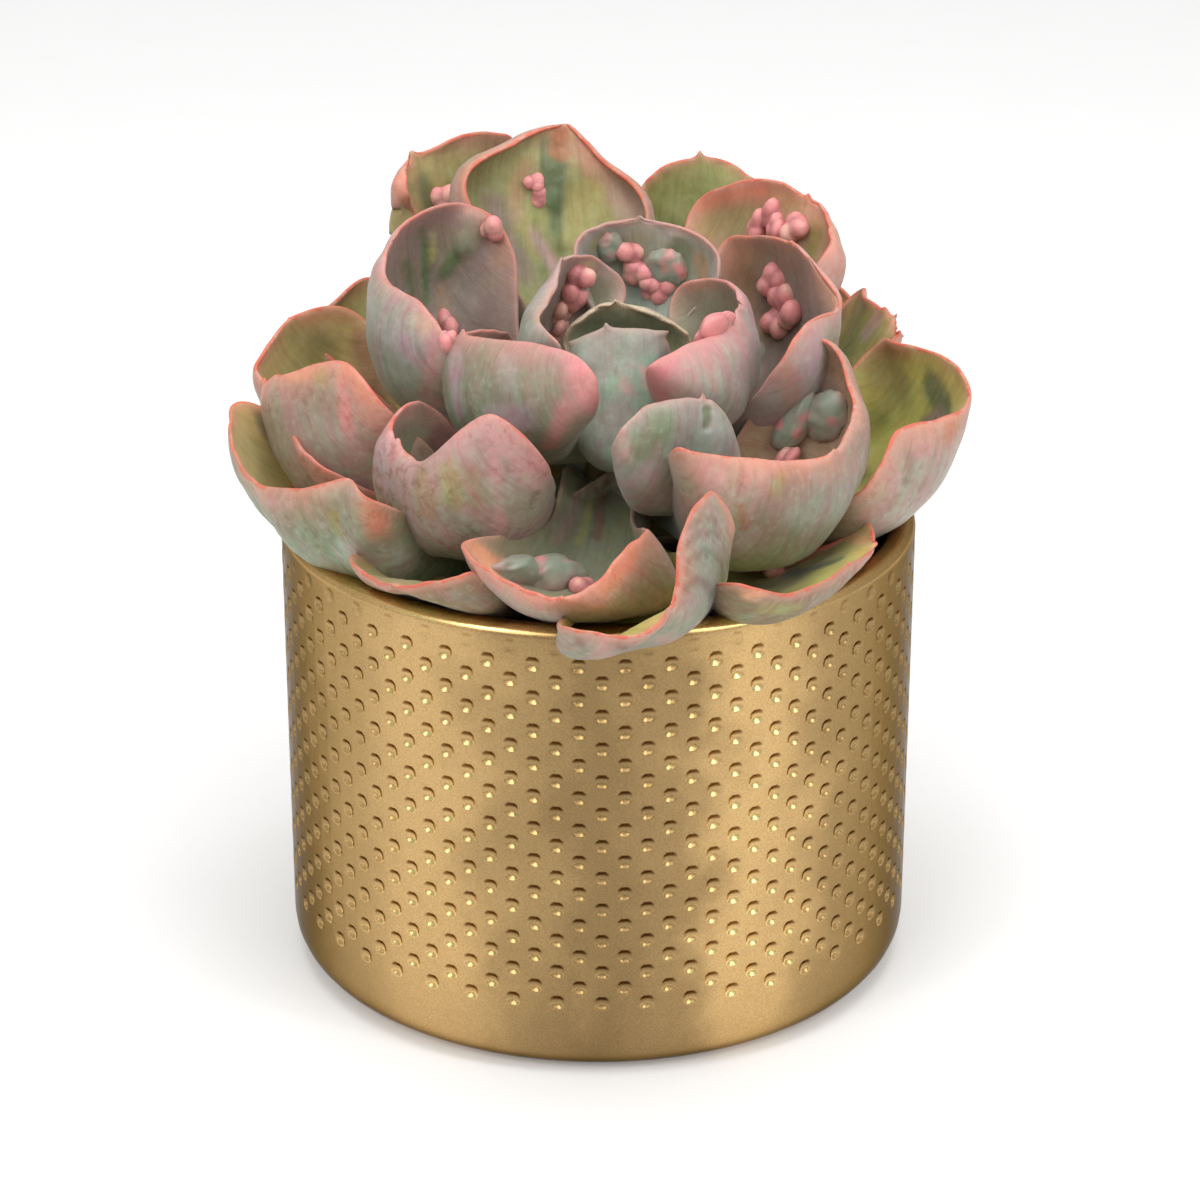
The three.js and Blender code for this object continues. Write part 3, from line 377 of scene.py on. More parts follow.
OUTER_WASHES = {
    "back_left": [
        ((0.55, 0.82), (0.54, 0.58), 4.8, TAN, 0.7), ((0.63, 1.0), (0.8, 0.96), 3.1, CORAL, 0.7),
    ],
    "back_left_top": [
        ((0.59, 1.0), (0.46, 1.0), 3.5, TAN, 0.6), ((0.64, -0.9), (0.56, -0.99), 3.5, TAN, 0.7),
    ],
    "back_right_2": [
        ((0.45, -0.99), (0.44, -0.76), 4, ROSE, 0.6),
    ],
    "left": [
        ((0.54, 0.92), (0.51, 0.94), 3.5, CREAM, 0.5), ((0.42, 0.74), (0.41, 0.74), 4.4, MINT, 0.9),
        ((0.75, 0.73), (0.65, 0.71), 4.4, MINT, 0.6), ((0.43, 0.93), (0.37, 0.61), 3.5, ROSE, 0.6),
        ((0.55, 0.67), (0.49, 0.73), 5.7, LILAC, 0.6),
    ],
    "inner_left": [
        ((0.65, 0.9), (0.49, 0.62), 4.4, MINT, 0.6),
    ],
    "inner_right": [
        ((0.49, -0.98), (0.38, -0.86), 5.7, PINK, 1), ((0.56, -0.84), (0.45, -0.8), 4, ROSE, 0.7),
        ((0.62, -0.79), (0.51, -0.59), 1.8, PINK, 0.45), ((0.71, -0.7), (0.48, -0.42), 4.4, PEWTER, 0.7),
        ((0.79, 0.72), (0.71, -0.33), 3.1, LILAC, 0.8),
    ],
    "heart_front": [
        ((0.76, 0.07), (0.42, 0.07), 6.6, MINT, 0.7), ((0.58, 0.17), (0.53, 0.19), 1.8, ROSE, 0.55),
        ((0.61, 0.42), (0.54, 0.41), 1.3, ROSE, 0.6), ((0.73, 0.99), (0.64, 0.92), 2, ROSE, 0.5),
    ],
    "mid_left_front": [
        ((0.81, 0.62), (0.69, 0.84), 4.4, SAGE, 0.55), ((0.69, 0.67), (0.62, 0.58), 3.1, MINT, 0.6),
        ((0.78, 0.08), (0.61, 0.11), 4, LILAC, 0.7), ((0.52, 0.38), (0.51, 0.57), 4.4, ORCHID, 0.7),
        ((0.56, 0.99), (0.44, 0.96), 4.8, PINK, 0.95), ((0.46, 0.81), (0.38, 0.6), 2.6, PINK, 0.6),
        ((0.3, 1.0), (0.14, 0.34), 4, SAGE, 0.65),
    ],
    "mid_front": [
        ((0.63, -0.78), (0.52, -0.8), 5.3, SAGE, 0.7), ((0.89, 0.07), (0.79, -0.01), 1.3, GREEN, 0.6, -0.6),
        ((0.74, 0.33), (0.59, 0.42), 3.1, LILAC, 0.5), ((0.46, -0.54), (0.35, -0.11), 6.6, LILAC, 0.8),
        ((0.48, -0.99), (0.45, -0.84), 1.8, ROSE, 0.6),
    ],
    "left_front": [
        ((0.55, 0.91), (0.4, 0.92), 3.5, ROSE, 0.8), ((0.71, 0.61), (0.64, 0.38), 2.9, BROWN, 0.8),
        ((0.64, 0.67), (0.6, 0.56), 3.1, OLIVE, 0.75), ((0.58, 0.72), (0.54, 0.6), 2.6, BROWN, 0.45),
        ((0.45, 0.74), (0.34, 0.58), 6.6, CLAY, 0.6), ((0.57, 0.32), (0.45, 0.31), 4.8, ROSE, 0.5),
        ((0.96, -0.99), (0.74, 0.13), 3.1, LILAC, 0.8), ((0.55, 0.83), (0.47, 0.58), 1.8, ROSE, 0.7),
    ],
    "far_left": [
        ((0.66, 0.96), (0.61, 0.79), 2.4, OLIVE, 0.95), ((0.68, 0.8), (0.55, 0.79), 4, DUSTY, 0.7),
        ((0.57, 0.9), (0.5, 0.78), 2.2, PINK, 0.7), ((0.58, 1.0), (0.46, 1.0), 4.4, CORAL, 0.85),
        ((0.75, 0.94), (0.69, 0.93), 2.6, APRICOT, 0.7), ((0.61, 0.59), (0.46, 0.66), 5.7, CLAY, 0.8),
        ((0.46, 0.87), (0.43, 0.8), 3.1, DUSTY, 0.8), ((0.83, 0.81), (0.74, 0.64), 2.2, MINT, 0.6),
    ],
    "far_left_low": [
        ((0.61, 0.78), (0.6, 0.69), 1.8, MUSTARD, 1), ((0.6, 0.69), (0.56, 0.7), 1.3, MUSTARD, 0.9),
        ((0.75, 0.74), (0.61, 0.56), 6.2, SAGE, 0.6), ((0.42, 0.99), (0.41, 0.86), 3.1, CORAL, 0.6),
        ((0.95, 0.26), (0.8, 0.76), 2.6, ROSE, 0.5), ((0.54, 0.58), (0.38, 0.64), 4.8, PEWTER, 0.8),
        ((0.68, 0.93), (0.47, 1.0), 2.6, MINT, 0.7),
    ],
    "low_left_front": [
        ((0.51, -0.49), (0.45, -0.33), 2.6, CLAY, 0.6), ((0.65, 0.83), (0.52, 0.73), 2.6, MAUVE, 0.6),
    ],
    "low_front": [
        ((0.57, 1.0), (0.77, 0.92), 3.5, CORAL, 0.95), ((0.6, 0.72), (0.71, 0.53), 4, CLAY, 0.8),
    ],
    "front_curl": [
        ((0.72, 1.0), (0.62, 0.83), 1.6, DUSK, 0.42), ((0.79, 0.99), (0.56, 0.72), 1.6, DUSK, 0.42),
        ((0.83, 0.9), (0.48, 0.67), 1.6, DUSK, 0.42), ((0.86, 0.79), (0.47, 0.54), 1.6, DUSK, 0.42),
        ((0.89, 0.63), (0.54, 0.39), 1.6, DUSK, 0.42), ((0.76, 0.99), (0.53, 0.8), 1, PEWTER, 0.5),
        ((0.81, 0.96), (0.51, 0.7), 1, PEWTER, 0.5), ((0.85, 0.86), (0.45, 0.62), 1, PEWTER, 0.5),
        ((0.51, -1.0), (0.52, -0.86), 1.6, DUSK, 0.42), ((0.68, -0.92), (0.69, -0.67), 1.6, DUSK, 0.42),
        ((0.59, -0.93), (0.58, 0.0), 3.1, ROSE, 0.7), ((0.72, 0.01), (0.58, 0.13), 3.1, ROSE, 0.5),
    ],
    "right_front": [
        ((0.47, -0.91), (0.7, -0.76), 5.7, ROSE, 0.6), ((0.46, -0.74), (0.58, -0.7), 5.3, CLAY, 0.7),
        ((0.57, -0.68), (0.54, -0.56), 1.5, RUST, 0.5), ((0.75, -0.68), (0.57, -0.47), 5.3, MAUVE, 0.8),
        ((0.51, -0.47), (0.43, -0.41), 5.3, LILAC, 0.5), ((0.74, -0.78), (0.68, -0.68), 1.8, OLIVE, 0.5),
        ((0.6, 0.99), (0.77, 0.92), 1.8, PEWTER, 0.6),
    ],
    "right": [
        ((0.64, -0.63), (0.54, -0.63), 4.8, SAGE, 0.55), ((0.43, -0.93), (0.39, -0.69), 3.1, ROSE, 0.6),
        ((0.45, -0.36), (0.43, -0.34), 3.5, MAUVE, 0.5),
    ],
    "far_right": [
        ((0.55, -0.97), (0.67, -0.83), 4, ROSE, 0.8), ((0.59, -0.82), (0.55, -0.68), 2.2, DUSTY, 0.8),
        ((0.77, -0.68), (0.86, -0.72), 2.6, TAN, 0.8), ((0.4, -0.92), (0.64, -0.39), 4, CLAY, 0.6),
        ((0.66, -0.51), (0.74, -0.56), 1.3, MINT, 0.5),
    ],
    "low_right_front": [
        ((0.46, -0.96), (0.5, -0.99), 2.6, APRICOT, 0.8), ((0.5, -0.87), (0.58, -0.86), 2.6, OLIVE, 0.8),
        ((0.43, -0.8), (0.46, -0.73), 2.6, SAGE, 0.5),
    ],
}


def linear(rgb):
    """A colour given as it looks on a screen, 0 to 255, as linear light."""
    c = np.array(rgb, float) / 255
    return np.where(c <= 0.04045, c / 12.92, ((c + 0.055) / 1.055) ** 2.4)


# The leaf surface, as in the solids, with what a leaf has where its row says nothing else
STEM_FOOT = np.array([2.0, 6.0, 74.0])
STEM_TOP = np.array([4.0, -6.0, 128.0])
NECK = (0.3, 0.3)
HUG = ((0.45, 0.38), (0.45, 0.38))
CURL = (32, 32)
REACH = (0.5, 0.45)
ROOT_WIDTH = 0.8
TIP_ROUND = 0.5
NECK_R = 0.2
# For one, two or three points on a margin: their places from root to tip, and their shares of the midrib
PLACES = {
    1: ((0.6, 0.8),),
    2: ((0.45, 0.62), (0.72, 0.88)),
    3: ((0.4, 0.55), (0.6, 0.75), (0.8, 0.92)),
}
BLADE_THICK = 4.2
MARGIN_THICK = 1.3
THINNER_AT_TIP = 0.35
RIB_POINTS = 129
TINY = 1e-9


def smooth(x):
    c = np.clip(x, 0, 1)
    return c * c * (3 - 2 * c)


def unit(v):
    return v / (np.linalg.norm(v, axis=-1, keepdims=True) + 1e-12)


def aim(az, pitch):
    flat = math.cos(pitch)
    return np.array([math.sin(az) * flat, -math.cos(az) * flat, math.sin(pitch)])


def midrib_of(leaf):
    """The midrib as points, tangents and lengths from the root, and the way across it at the root."""
    tip = np.array(leaf["tip"], float)
    root = STEM_FOOT + (STEM_TOP - STEM_FOOT) * leaf["at"]
    away = math.atan2(tip[0] - root[0], root[1] - tip[1])
    if "az" in leaf:
        away = leaf["az"] * RAD
    chord = np.linalg.norm(tip - root)
    first, last = leaf.get("reach", REACH)
    p1 = root + aim(away, leaf["pitch"][0] * RAD) * chord * first
    p2 = tip - aim(away, leaf["pitch"][1] * RAD) * chord * last
    u = np.linspace(0, 1, RIB_POINTS)[:, None]
    w = 1 - u
    points = w ** 3 * root + 3 * w * w * u * p1 + 3 * w * u * u * p2 + u ** 3 * tip
    tangents = unit(w * w * (p1 - root) + 2 * w * u * (p2 - p1) + u * u * (tip - p2))
    steps = np.linalg.norm(np.diff(points, axis=0), axis=1)
    lengths = np.concatenate([[0], np.cumsum(steps)])
    return points, tangents, lengths, np.array([math.cos(away), math.sin(away), 0])


def point_on(rib, share):
    return rib_at(rib, np.array([share]))[0][0]


def rib_at(rib, share):
    points, tangents, lengths, side0 = rib
    length = lengths[-1] * share
    i = np.clip(np.searchsorted(lengths, length, side="right") - 1, 0, len(lengths) - 2)
    part = ((length - lengths[i]) / (lengths[i + 1] - lengths[i]))[..., None]
    point = points[i] * (1 - part) + points[i + 1] * part
    tangent = unit(tangents[i] * (1 - part) + tangents[i + 1] * part)
    side = unit(side0 - tangent * (tangent @ side0)[..., None])
    return point, tangent, side


def through(places, values, x, last=None):
    """A smooth curve through values at places, read at x. last: its slope at the end."""
    places = np.asarray(places, float)
    values = np.asarray(values, float)
    slopes = np.empty_like(values)
    slopes[0] = (values[1] - values[0]) / (places[1] - places[0])
    slopes[-1] = (values[-1] - values[-2]) / (places[-1] - places[-2]) if last is None else last
    for k in range(1, len(places) - 1):
        slopes[k] = (values[k + 1] - values[k - 1]) / (places[k + 1] - places[k - 1])
    i = np.clip(np.searchsorted(places, x, side="right") - 1, 0, len(places) - 2)
    width = places[i + 1] - places[i]
    u = (x - places[i]) / width
    if values.ndim > 1:
        u = u[..., None]
        width = width[..., None]
    a = values[i] * (1 + 2 * u) * (1 - u) ** 2 + values[i + 1] * u * u * (3 - 2 * u)
    return a + (slopes[i] * u * (1 - u) ** 2 - slopes[i + 1] * u * u * (1 - u)) * width


def margins_of(leaf, rib):
    """Places from root to tip, their shares of the midrib, and each margin's points and last slope."""
    tip = np.array(leaf["tip"], float)
    places = PLACES[len(leaf["cw"])]
    share, width = leaf.get("neck", NECK)
    near = {}
    for key in ("cw", "acw"):
        knots = [np.array(k, float) for k in leaf[key]]
        out = (knots[0] - point_on(rib, places[0][1])) * width
        foot = [point_on(rib, 0) + out * ROOT_WIDTH, point_on(rib, share) + out]
        near[key] = foot + knots + [tip]
    step = 1 - places[-1][0]
    at = [0, NECK_R] + [p[0] for p in places] + [1]
    shares = [0, share] + [p[1] for p in places] + [1]
    ends = {}
    for key, other in (("cw", "acw"), ("acw", "cw")):
        ahead = (tip - near[key][-2]) / step
        across = (near[other][-2] - near[key][-2]) / (2 * step)
        ends[key] = ahead * (1 - TIP_ROUND) + across * TIP_ROUND
    return at, shares, near, ends


def blade(leaf, r, t, ripple=None):
    """Points of the blade's middle surface: r from root to point, t across it from -1 to 1."""
    rib = midrib_of(leaf)
    at, shares, near_points, ends = margins_of(leaf, rib)
    share = np.clip(through(at, shares, r), 0, 1)
    point, tangent, side = rib_at(rib, share)
    place = np.sign(t) * (1 - r)
    teeth = np.zeros_like(share)
    for spot, height, spread in leaf.get("teeth", []):
        teeth += height * np.exp(-(((place - spot) / spread) ** 2))
    rise = ripple(place) * smooth(r * 2) if ripple else np.zeros_like(share)
    a = np.abs(t)
    near = 3 * (1 - a) ** 2 * a
    far = 3 * (1 - a) * a * a
    result = np.zeros(share.shape + (3,))
    for which, (hand, key) in enumerate(((-1, "cw"), (1, "acw"))):
        hug = leaf.get("hug", HUG)[which]
        curl = leaf.get("curl", CURL)[which] * RAD
        edge = through(at, near_points[key], r, ends[key])
        out = edge - point
        size = np.linalg.norm(out, axis=-1)[..., None]
        out = out / (size + TINY)
        inward = unit(hand * np.cross(tangent, out))
        curled = math.cos(curl) * out + math.sin(curl) * inward
        here = near[..., None] * hug[0] * hand * side + (far + a ** 3)[..., None] * out
        here = (here - far[..., None] * hug[1] * curled) * size
        here = here + (rise * a ** 3)[..., None] * inward + (teeth * a ** 9)[..., None] * out
        result = np.where(((t < 0) == (hand < 0))[..., None], here, result)
    return point + result


def thickness_at(leaf, r, t):
    full = leaf.get("thick", BLADE_THICK) * (1 - THINNER_AT_TIP * r)
    inside = (1 - np.abs(t) ** 2.5) * (1 - r ** 9)
    return MARGIN_THICK + (full - MARGIN_THICK) * inside


# How an attribute is stored: its kind and the name of its values, by how many numbers each point has
STORED = {1: ("FLOAT", "value"), 3: ("FLOAT_VECTOR", "vector"), 4: ("FLOAT_COLOR", "color")}


def mesh_object(name, points, faces, attributes, material):
    """A smooth mesh object from points in millimetres, with its attributes and its material."""
    mesh = bpy.data.meshes.new(name)
    mesh.from_pydata((np.asarray(points) * MM).tolist(), [], faces)
    for key, values in attributes.items():
        values = np.asarray(values, np.float32)
        kind, field = STORED[values.size // len(values)]
        layer = mesh.attributes.new(key, kind, "POINT")
        layer.data.foreach_set(field, values.ravel())
    mesh.polygons.foreach_set("use_smooth", [True] * len(mesh.polygons))
    mesh.materials.append(material)
    mesh.validate()
    mesh.update()
    return add_object(name, mesh)


def noise_at(points, scale, seed, depth=3):
    """Smooth noise from -1 to 1 at points in millimetres, with features of about the scale's size."""
    shift = Vector((seed * 7.31, seed * 3.77, seed * 5.13))
    flat = points.reshape(-1, 3) / scale
    values = [noise.fractal(Vector(p) + shift, 0.7, 2.1, depth) for p in flat]
    return np.array(values).reshape(points.shape[:-1])


def icosphere(level):
    ball = bmesh.new()
    bmesh.ops.create_icosphere(ball, subdivisions=level, radius=1)
    points = np.array([v.co[:] for v in ball.verts])
    faces = [[v.index for v in f.verts] for f in ball.faces]
    ball.free()
    return points, faces


# Growths wider than this are flat grey-green pads, the others are pink and knobbly.
PAD_RADIUS = 2.9
# Each kind's last pair is how much of a growth's own tone is kept against the painted shade in its creases:
# at the least, and how much more away from them.
PAD = dict(
    larger=1.15, around=4, spread=0.42, middle=0.8, lift=(-0.25, 0.2), size=(0.5, 0.62), rough=0.16,
    height=0.72, second=PAD_GREEN, second_share=1.25, unshaded=(0.7, 0.3),
)
KNOB = dict(
    larger=1.3, around=3, spread=0.5, middle=0.7, lift=(-0.2, 0.6), size=(0.55, 0.72), rough=0.05,
    height=1, second=KNOB_PALE, second_share=0.0, unshaded=(0.45, 0.55),
)
KNOB_TURN = 2.4
PULL = 2.4
HEIGHT_SHARE = 0.8
# Where the pull is looked at along each direction, in shares of the radius
LOOKED_AT = np.linspace(0.15, 1.8, 67)
NEARBY = 0.01
KNOBS_SEED = 100


def growths(leaf, seed, level):
    """The growths on a leaf, each one mass of several knobs: points, faces and colours."""
    ball, ball_faces = icosphere(level)
    rng = np.random.default_rng(KNOBS_SEED + seed)
    points, faces, tones = [], [], []
    for r, t, radius, up in leaf.get("lumps", []):
        pad = radius > PAD_RADIUS
        kind = PAD if pad else KNOB
        radius = radius * kind["larger"]
        side = np.sign(t + 1e-6)
        here = blade(leaf, np.array([r, r + NEARBY, r]), np.array([t, t, t - NEARBY * side]))
        along = unit(here[1] - here[0])
        across = unit((here[2] - here[0]) * -side)
        normal = unit(np.cross(along, across))
        turn = rng.uniform(0, 6.28)
        centres = [(0.0, 0.0, -0.1)]
        sizes = [kind["middle"]]
        for k in range(kind["around"]):
            angle = turn + k * KNOB_TURN
            lift = rng.uniform(*kind["lift"])
            centres.append((math.cos(angle) * kind["spread"], math.sin(angle) * kind["spread"], lift))
            sizes.append(rng.uniform(*kind["size"]))
        # Along each direction, the outermost place where the knobs' summed pull is still 1
        sample = ball[:, None, :] * LOOKED_AT[None, :, None]
        gap = np.linalg.norm(sample[:, :, None, :] - np.array(centres), axis=-1) / np.array(sizes)
        pulls = np.exp(-PULL * (gap ** 2 - 1))
        pull = pulls.sum(axis=-1)
        outermost = len(LOOKED_AT) - 1 - np.argmax(pull[:, ::-1] > 1, axis=1)
        outermost = np.minimum(outermost, len(LOOKED_AT) - 2)
        rows = np.arange(len(ball))
        high, low = np.log(pull[rows, outermost]), np.log(pull[rows, outermost + 1])
        share = np.clip(high / (high - low + TINY), 0, 1)
        surface = LOOKED_AT[outermost] + share * (LOOKED_AT[1] - LOOKED_AT[0])
        body = ball * surface[:, None] * radius
        body = body * (1 + kind["rough"] * noise_at(body, radius * 0.6, seed, 2))[:, None]
        body[:, 2] *= kind["height"]
        placed = here[0] + normal * up * HEIGHT_SHARE
        placed = placed + body[:, :1] * along + body[:, 1:2] * across + body[:, 2:] * normal
        # Pink with patches of the second colour, and painted shade in the creases between the knobs
        patch = smooth(noise_at(placed, 5, seed + 7, 2)[:, None] * 1.5 + kind["second_share"])
        tone = linear(KNOB_PINK) * (1 - patch) + linear(kind["second"]) * patch
        if pad:
            rim = smooth((np.linalg.norm(body[:, :2], axis=1) / radius - 0.75) * 2.5)[:, None]
            tone = tone * (1 - 0.5 * rim) + linear(PAD_RIM) * 0.5 * rim
        parts = pulls[rows, outermost]
        crease = parts.max(axis=1) / parts.sum(axis=1)
        least, more = kind["unshaded"]
        unshaded = least + more * smooth((crease - 0.36) * 1.9)[:, None]
        tones.append(linear(CREASE_SHADE) * (1 - unshaded) + tone * unshaded)
        faces += [[i + len(ball) * len(points) for i in f] for f in ball_faces]
        points.append(placed)
    if not points:
        return np.zeros((0, 3)), [], np.zeros((0, 3))
    return np.concatenate(points), faces, np.concatenate(tones)


SKIN_TINT = (0.96, 1.0, 1.03)
CLOUDS = 0.12
WASH_STEPS = 21
WASH_MOST = 0.95
# Washes with more red than this are strengthened by the first number, the others by the second.
BRIGHT_RED = 200
PALE_WASH, OTHER_WASH = 1.15, 1.6
# What is added to a leaf's number to seed each kind of noise on it
RUGGED, BROAD, UNEVEN, DENTED = 20, 30, 40, 50


def painted(name, leaf, middle, seed):
    """The colour of each face over the blade's grid, and how far its washes stand up in millimetres."""
    rugged = noise_at(middle, 6, seed + RUGGED, 3)
    broad = noise_at(middle, 22, seed + BROAD, 2)
    part = np.linspace(0, 1, WASH_STEPS)
    tones, lifts = {}, {}
    for face, base, washes in zip(("in", "out"), LOOKS[name], (INNER_WASHES, OUTER_WASHES)):
        colour = linear(base) * (1 + CLOUDS * broad)[..., None] * SKIN_TINT
        lift = np.zeros(middle.shape[:2])
        for start, end, reach, wash, strength, *up in washes.get(name, []):
            path = blade(leaf, *(a + (b - a) * part for a, b in zip(start, end)))
            gap = np.linalg.norm(middle[:, :, None, :] - path, axis=-1).min(axis=-1)
            weight = smooth(1.15 - gap * (1 + 0.3 * rugged) / reach)
            strength *= PALE_WASH if wash[0] > BRIGHT_RED else OTHER_WASH
            colour = colour + (linear(wash) - colour) * np.minimum(strength * weight, WASH_MOST)[..., None]
            if up:
                lift += up[0] * smooth(1.4 - 1.1 * gap / reach)
        tones[face], lifts[face] = colour, lift
    return tones, lifts


# The outermost places from the rib to a margin, close together where it is rounded: the others are evenly
# spaced up to LAST_WIDE.
NEAR_MARGIN = [0.952, 0.968, 0.982, 0.992, 0.998, 1.0]
LAST_WIDE = 0.945
FINE_STEPS, COARSE_STEPS = (96, 26), (48, 14)
CLOSER_AT_ROOT = 0.92
ROOT_GAP = 0.04
POINT_FROM = 0.93
POINT_LENGTH = 1.4
MARGIN_ROUND = 0.75
THINNING_WIDTH = 5
LIFT_WIDTH = 2.5
FOLD_SIZE, FOLD_HEIGHT = 17, 0.9
DENT_SIZE, DENT_DEPTH = 6, 0.14
# How a margin waves: the waves' rate, height, and how often the side's shift counts
WAVES = ((9, 1, 1), (21, 0.5, 2), (47, 0.35, 1))
WAVE_HEIGHT = 0.3
SIDE_SHIFT = 1.7
# What the material reads on growths, which have neither margin nor root: millimetres and share of the way
LUMP_EDGE, LUMP_RUN = 9.0, 0.8
BLUSH_STARTS = 0.22


def rippler(rng):
    """A function for how far a margin waves at a place, from -1 to 1, in millimetres."""
    phases = rng.uniform(0, 6.28, 6)

    def ripple(place):
        side = np.where(place < 0, SIDE_SHIFT, 0.0)
        waves = [h * np.sin(place * rate + p + side * s) for (rate, h, s), p in zip(WAVES, phases)]
        return WAVE_HEIGHT * sum(waves)

    return ripple


def margin_gap(middle):
    """How far each point of the blade's grid is from the nearest point of its margins."""
    margin = np.concatenate([middle[:, 0], middle[::-1, -1]])
    tree = kdtree.KDTree(len(margin))
    for i, p in enumerate(margin):
        tree.insert(Vector(p), i)
    tree.balance()
    gaps = [tree.find(Vector(p))[2] for p in middle.reshape(-1, 3)]
    return np.array(gaps).reshape(middle.shape[:2])


def leaf_faces(index):
    """The faces of a leaf from the numbers of its points: index[0] is the inner face, index[1] the outer."""
    faces = []

    def face(*ids):
        kept = list(dict.fromkeys(int(k) for k in ids))
        if len(kept) > 2:
            faces.append(kept)

    inner, outer = index
    rows, cols = inner.shape
    for i in range(rows - 1):
        for j in range(cols - 1):
            face(inner[i, j], inner[i + 1, j], inner[i + 1, j + 1], inner[i, j + 1])
            face(outer[i, j], outer[i, j + 1], outer[i + 1, j + 1], outer[i + 1, j])
    for j in range(cols - 1):
        face(inner[0, j], inner[0, j + 1], outer[0, j + 1], outer[0, j])
    return faces


def leaf_piece(name, leaf, seed, material, fine):
    """A leaf: two faces that meet in a rounded margin, with ripples, a small point and growths."""
    steps_r, steps_t = FINE_STEPS if fine else COARSE_STEPS
    r = ROOT_GAP + (1 - ROOT_GAP) * np.linspace(0, 1, steps_r) ** CLOSER_AT_ROOT
    half = np.concatenate([np.linspace(0, 1, steps_t)[:-1] * LAST_WIDE, NEAR_MARGIN])
    t = np.concatenate([-half[::-1], half[1:]])
    rr, tt = np.broadcast_arrays(r[:, None], t[None, :])
    rows, cols = rr.shape
    rib = cols // 2

    # The middle surface, with its point, its waves and its folds
    middle = blade(leaf, rr, tt, rippler(np.random.default_rng(seed)))
    along = np.gradient(middle, axis=0)
    across = np.gradient(middle, axis=1)
    normal = unit(np.cross(along, across))
    normal[-1] = normal[-2, rib]
    tip_dir = unit(along[-2, rib])
    point_out = np.clip((rr - POINT_FROM) / (1 - POINT_FROM), 0, 1) ** 3
    middle = middle + point_out[..., None] * tip_dir * POINT_LENGTH
    fade = smooth(rr * 3)
    middle = middle + normal * (noise_at(middle, FOLD_SIZE, seed, 2) * FOLD_HEIGHT * fade)[..., None]

    # The inner and the outer face
    edge = margin_gap(middle)
    roundness = np.sqrt(np.clip(1 - (1 - np.clip(edge / MARGIN_ROUND, 0, 1)) ** 2, 0, 1))
    thick = thickness_at(leaf, rr, tt) / 2 * roundness * (0.7 + 0.3 * smooth(edge / THINNING_WIDTH))
    thick[:, 0] = thick[:, -1] = 0
    thick[-1, :] = 0
    dent = noise_at(middle, DENT_SIZE, seed + DENTED, 3) * DENT_DEPTH * fade
    tones, lifts = painted(name, leaf, middle, seed)
    inner_way = smooth(edge / LIFT_WIDTH)
    upper = middle + normal * (thick + dent + lifts["in"] * inner_way)[..., None]
    lower = middle - normal * (thick - dent + lifts["out"] * inner_way)[..., None]

    # The points, with what the material reads at each of them
    index = np.zeros((2, rows, cols), int)
    points = []
    data = {"edge": [], "face": [], "run": [], "side": [], "tone": []}
    width = np.cumsum(np.linalg.norm(np.diff(middle, axis=1), axis=-1), axis=1)
    width = np.concatenate([np.zeros((rows, 1)), width], axis=1)
    width = width - width[:, [rib]]
    rib_steps = np.diff(middle[:, rib], axis=0, prepend=middle[:1, rib])
    length = np.cumsum(np.linalg.norm(rib_steps, axis=-1))

    def put(p, i, j, face):
        points.append(p)
        data["edge"].append(edge[i, j])
        data["face"].append(face)
        data["run"].append(rr[i, j])
        data["side"].append((width[i, j], length[i], seed * 11.0))
        data["tone"].append(face * tones["in"][i, j] + (1 - face) * tones["out"][i, j])
        return len(points) - 1

    tip = put(middle[-1, rib], rows - 1, rib, 0.5)
    for i in range(rows):
        for j in range(cols):
            if i == rows - 1:
                index[:, i, j] = tip
            elif j in (0, cols - 1):
                index[:, i, j] = put(middle[i, j], i, j, 0.5)
            else:
                index[0, i, j] = put(upper[i, j], i, j, 1.0)
                index[1, i, j] = put(lower[i, j], i, j, 0.0)
    faces = leaf_faces(index)

    # The growths, which keep their own colours and have no blush
    count = len(points)
    lumps, lump_faces, lump_tones = growths(leaf, seed, 4 if fine else 3)
    points = np.clip(np.concatenate([np.array(points), lumps]), *np.array(cad_box) / MM)
    faces += [[k + count for k in f] for f in lump_faces]
    extra = len(points) - count
    blush, strength, reach, line, mottle = LOOKS[name][2:]
    edge_all = np.concatenate([data["edge"], np.full(extra, LUMP_EDGE)])
    side_all = np.concatenate([np.array(data["side"]), lumps])
    run_all = np.concatenate([data["run"], np.full(extra, LUMP_RUN)])
    hand = np.where(side_all[:, 0] < 0, strength[0], strength[1])
    uneven = 1 + 0.5 * noise_at(points, 9, seed + UNEVEN, 2)
    from_root = smooth((run_all - BLUSH_STARTS) * 4)
    tone = np.concatenate([np.array(data["tone"]), lump_tones])
    attributes = {
        "edge": edge_all,
        "face": np.concatenate([data["face"], np.full(extra, 0.5)]),
        "grain": side_all,
        "flush": hand * np.exp(-edge_all / reach) * uneven * from_root,
        "line": np.clip(line * (uneven + 0.15), 0, 1) * from_root,
        "mottle": np.full(len(points), mottle),
        "lump": np.concatenate([np.zeros(count), np.ones(extra)]),
        "tone": np.concatenate([np.clip(tone, 0, 1), np.ones((len(points), 1))], axis=1),
        "blush": np.tile(np.append(linear(blush), 1.0), (len(points), 1)),
    }
    return mesh_object("fine_" + name, points, faces, attributes, material)


